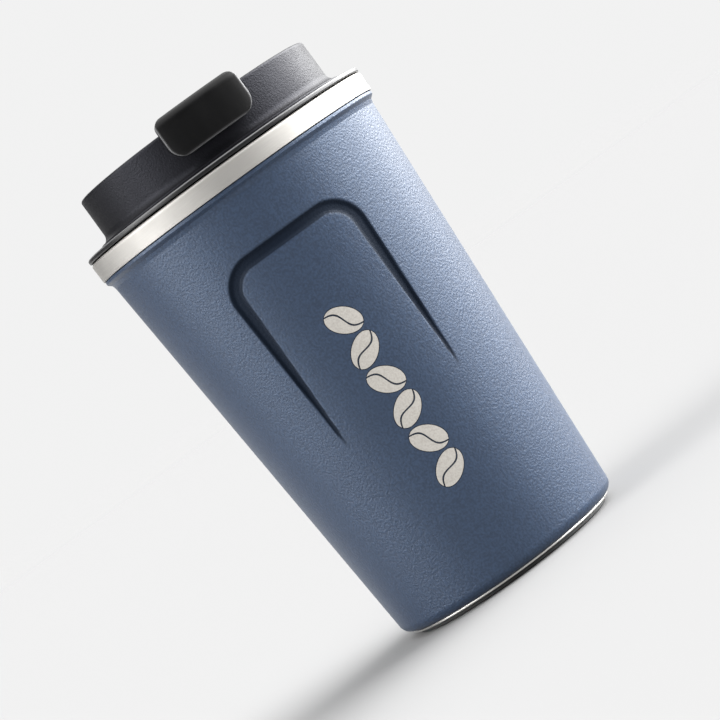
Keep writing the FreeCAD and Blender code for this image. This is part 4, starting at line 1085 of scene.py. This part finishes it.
def pale_room():
    """World whose radiance depends on direction only: a ring of soft lights and dark flags round
    the horizon, a plain top above it, and the floor's own radiance below."""
    world = bpy.data.worlds.new("pale_room")
    world.use_nodes = True
    nodes, links = world.node_tree.nodes, world.node_tree.links
    split = nodes.new("ShaderNodeSeparateXYZ")
    links.new(nodes.new("ShaderNodeTexCoord").outputs["Generated"], split.inputs[0])
    front = maths(nodes, links, "MULTIPLY", split.outputs["Y"], -1.0)
    bearing = maths(nodes, links, "ARCTAN2", split.outputs["X"], front)
    share = spread(nodes, links, bearing, 0.0, 1.0, -math.pi, math.pi)
    stops = [((degrees + 180) / 360, room_grey(level)) for degrees, level in ROOM_RING]
    ring = ramp(nodes, links, share, stops)
    sine = split.outputs["Z"]
    climb = spread(nodes, links, sine, 0.0, 1.0, TOP_START, TOP_FULL, smooth=True)
    above = mix_colour(nodes, links, climb, ring, room_grey(ROOM_TOP))
    sunk = spread(nodes, links, sine, 0.0, 1.0, 0.0, -0.01)
    colour = mix_colour(nodes, links, sunk, above, room_grey(ROOM_PALE))
    links.new(colour, nodes["Background"].inputs["Color"])
    nodes["Background"].inputs["Strength"].default_value = ROOM_SCALE
    bpy.context.scene.world = world
    bpy.context.scene.view_settings.view_transform = "Standard"


# -------------------------------- assembly

def dress(piece, body, nodes, material):
    """Paint a piece, let it ride on its body and stand for its CAD nodes."""
    paint(piece, material)
    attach(piece, body)
    if nodes:
        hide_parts(*nodes)


def dress_cup(steel, rubber):
    dress(cup_shell(), "cup", ["outer_shell"], powder_coat())
    dress(mouth_band(), "cup", ["rim_band"],
          brushed_steel("band_steel", BAND_STEEL, rough=0.56))
    dress(foot_cap(), "cup", ["base_cap"], steel)
    dress(foot_pad(), "cup", ["base_pad"], rubber)
    dress(bean_mark("bean_mark", margin=0.0, lift=0.06), "cup", [], etched_cream())
    # painted shadow: a dark outline slab just under the beans
    dress(bean_mark("bean_shadow_outline", OUTLINE_MARGIN, lift=0.02), "cup", [], bean_shadow_edge())


def dress_lid(steel, plain, soft):
    grained = grained_plastic("lid_grain", COVER_BLACK, grain_mm=0.42, depth_mm=0.11, rough=0.42,
                              strength=0.7)
    dress(grained_cover(), "lid", ["lid_cover"], grained)
    dress(flange_and_plug(), "lid", ["lid_base"], plain)
    spout_seat = gasket_piece("spout_seat", SPOUT_FORWARD, foot=4.6, top=5.6, radius=7.0, lip=8.2)
    dress(spout_seat, "lid", ["spout_gasket"], soft)
    vent_seat = gasket_piece("vent_seat", VENT_FORWARD, foot=1.6, top=2.5, radius=3.3, lip=4.0)
    dress(vent_seat, "lid", ["vent_gasket"], soft)
    dress(hinge_rod(), "lid", ["hinge_pin"], steel)


def dress_tongue(soft):
    dress(satin_tongue(), "tongue", ["flip_tongue"],
          satin_plastic("tongue_black", TONGUE_BLACK, rough=0.34))
    spout_stopper = stopper_piece("spout_stopper", SPOUT_FORWARD, tip=139.8, tip_radius=4.2,
                                  root_radius=5.2, disc=6.6, stem=2.6, stem_top=147.3)
    dress(spout_stopper, "tongue", ["spout_plug"], soft)
    vent_stopper = stopper_piece("vent_stopper", VENT_FORWARD, tip=141.9, tip_radius=1.2,
                                 root_radius=2.0, disc=3.2, stem=1.2, stem_top=146.2)
    dress(vent_stopper, "tongue", ["vent_plug"], soft)


def paint_carried_nodes(steel, plain, soft):
    """Finishes of the CAD nodes that are shown as they are."""
    finishes = {
        "inner_liner": steel,
        "liner_floor": steel,
        "vacuum_bottom": steel,
        "getter_clip": steel,
        "radiation_foil": brushed_steel("foil_metal", FOIL, lines_mm=0.6, rough=0.2),
        "getter": sintered_grey("getter_alloy", GETTER_GREY, metallic=0.6, rough=0.6),
        "vacuum_seal": sintered_grey("solder_glass", SOLDER_GREEN, metallic=0.0, rough=0.35),
        "lid_seal": soft,
        "tongue_liner": plain,
    }
    for node, material in finishes.items():
        paint(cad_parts[node], material)


def main():
    steel = brushed_steel("bare_steel", BARE_STEEL)
    rubber = silicone("pad_black", PAD_BLACK, rough=0.62)
    soft = silicone("clear_silicone", SILICONE_GREY)
    plain = satin_plastic("lid_black", FLANGE_BLACK, rough=0.30, gloss=0.4)
    dress_cup(steel, rubber)
    dress_lid(steel, plain, soft)
    dress_tongue(soft)
    paint_carried_nodes(steel, plain, soft)
    pale_floor()
    pale_room()
    set_camera()


main()
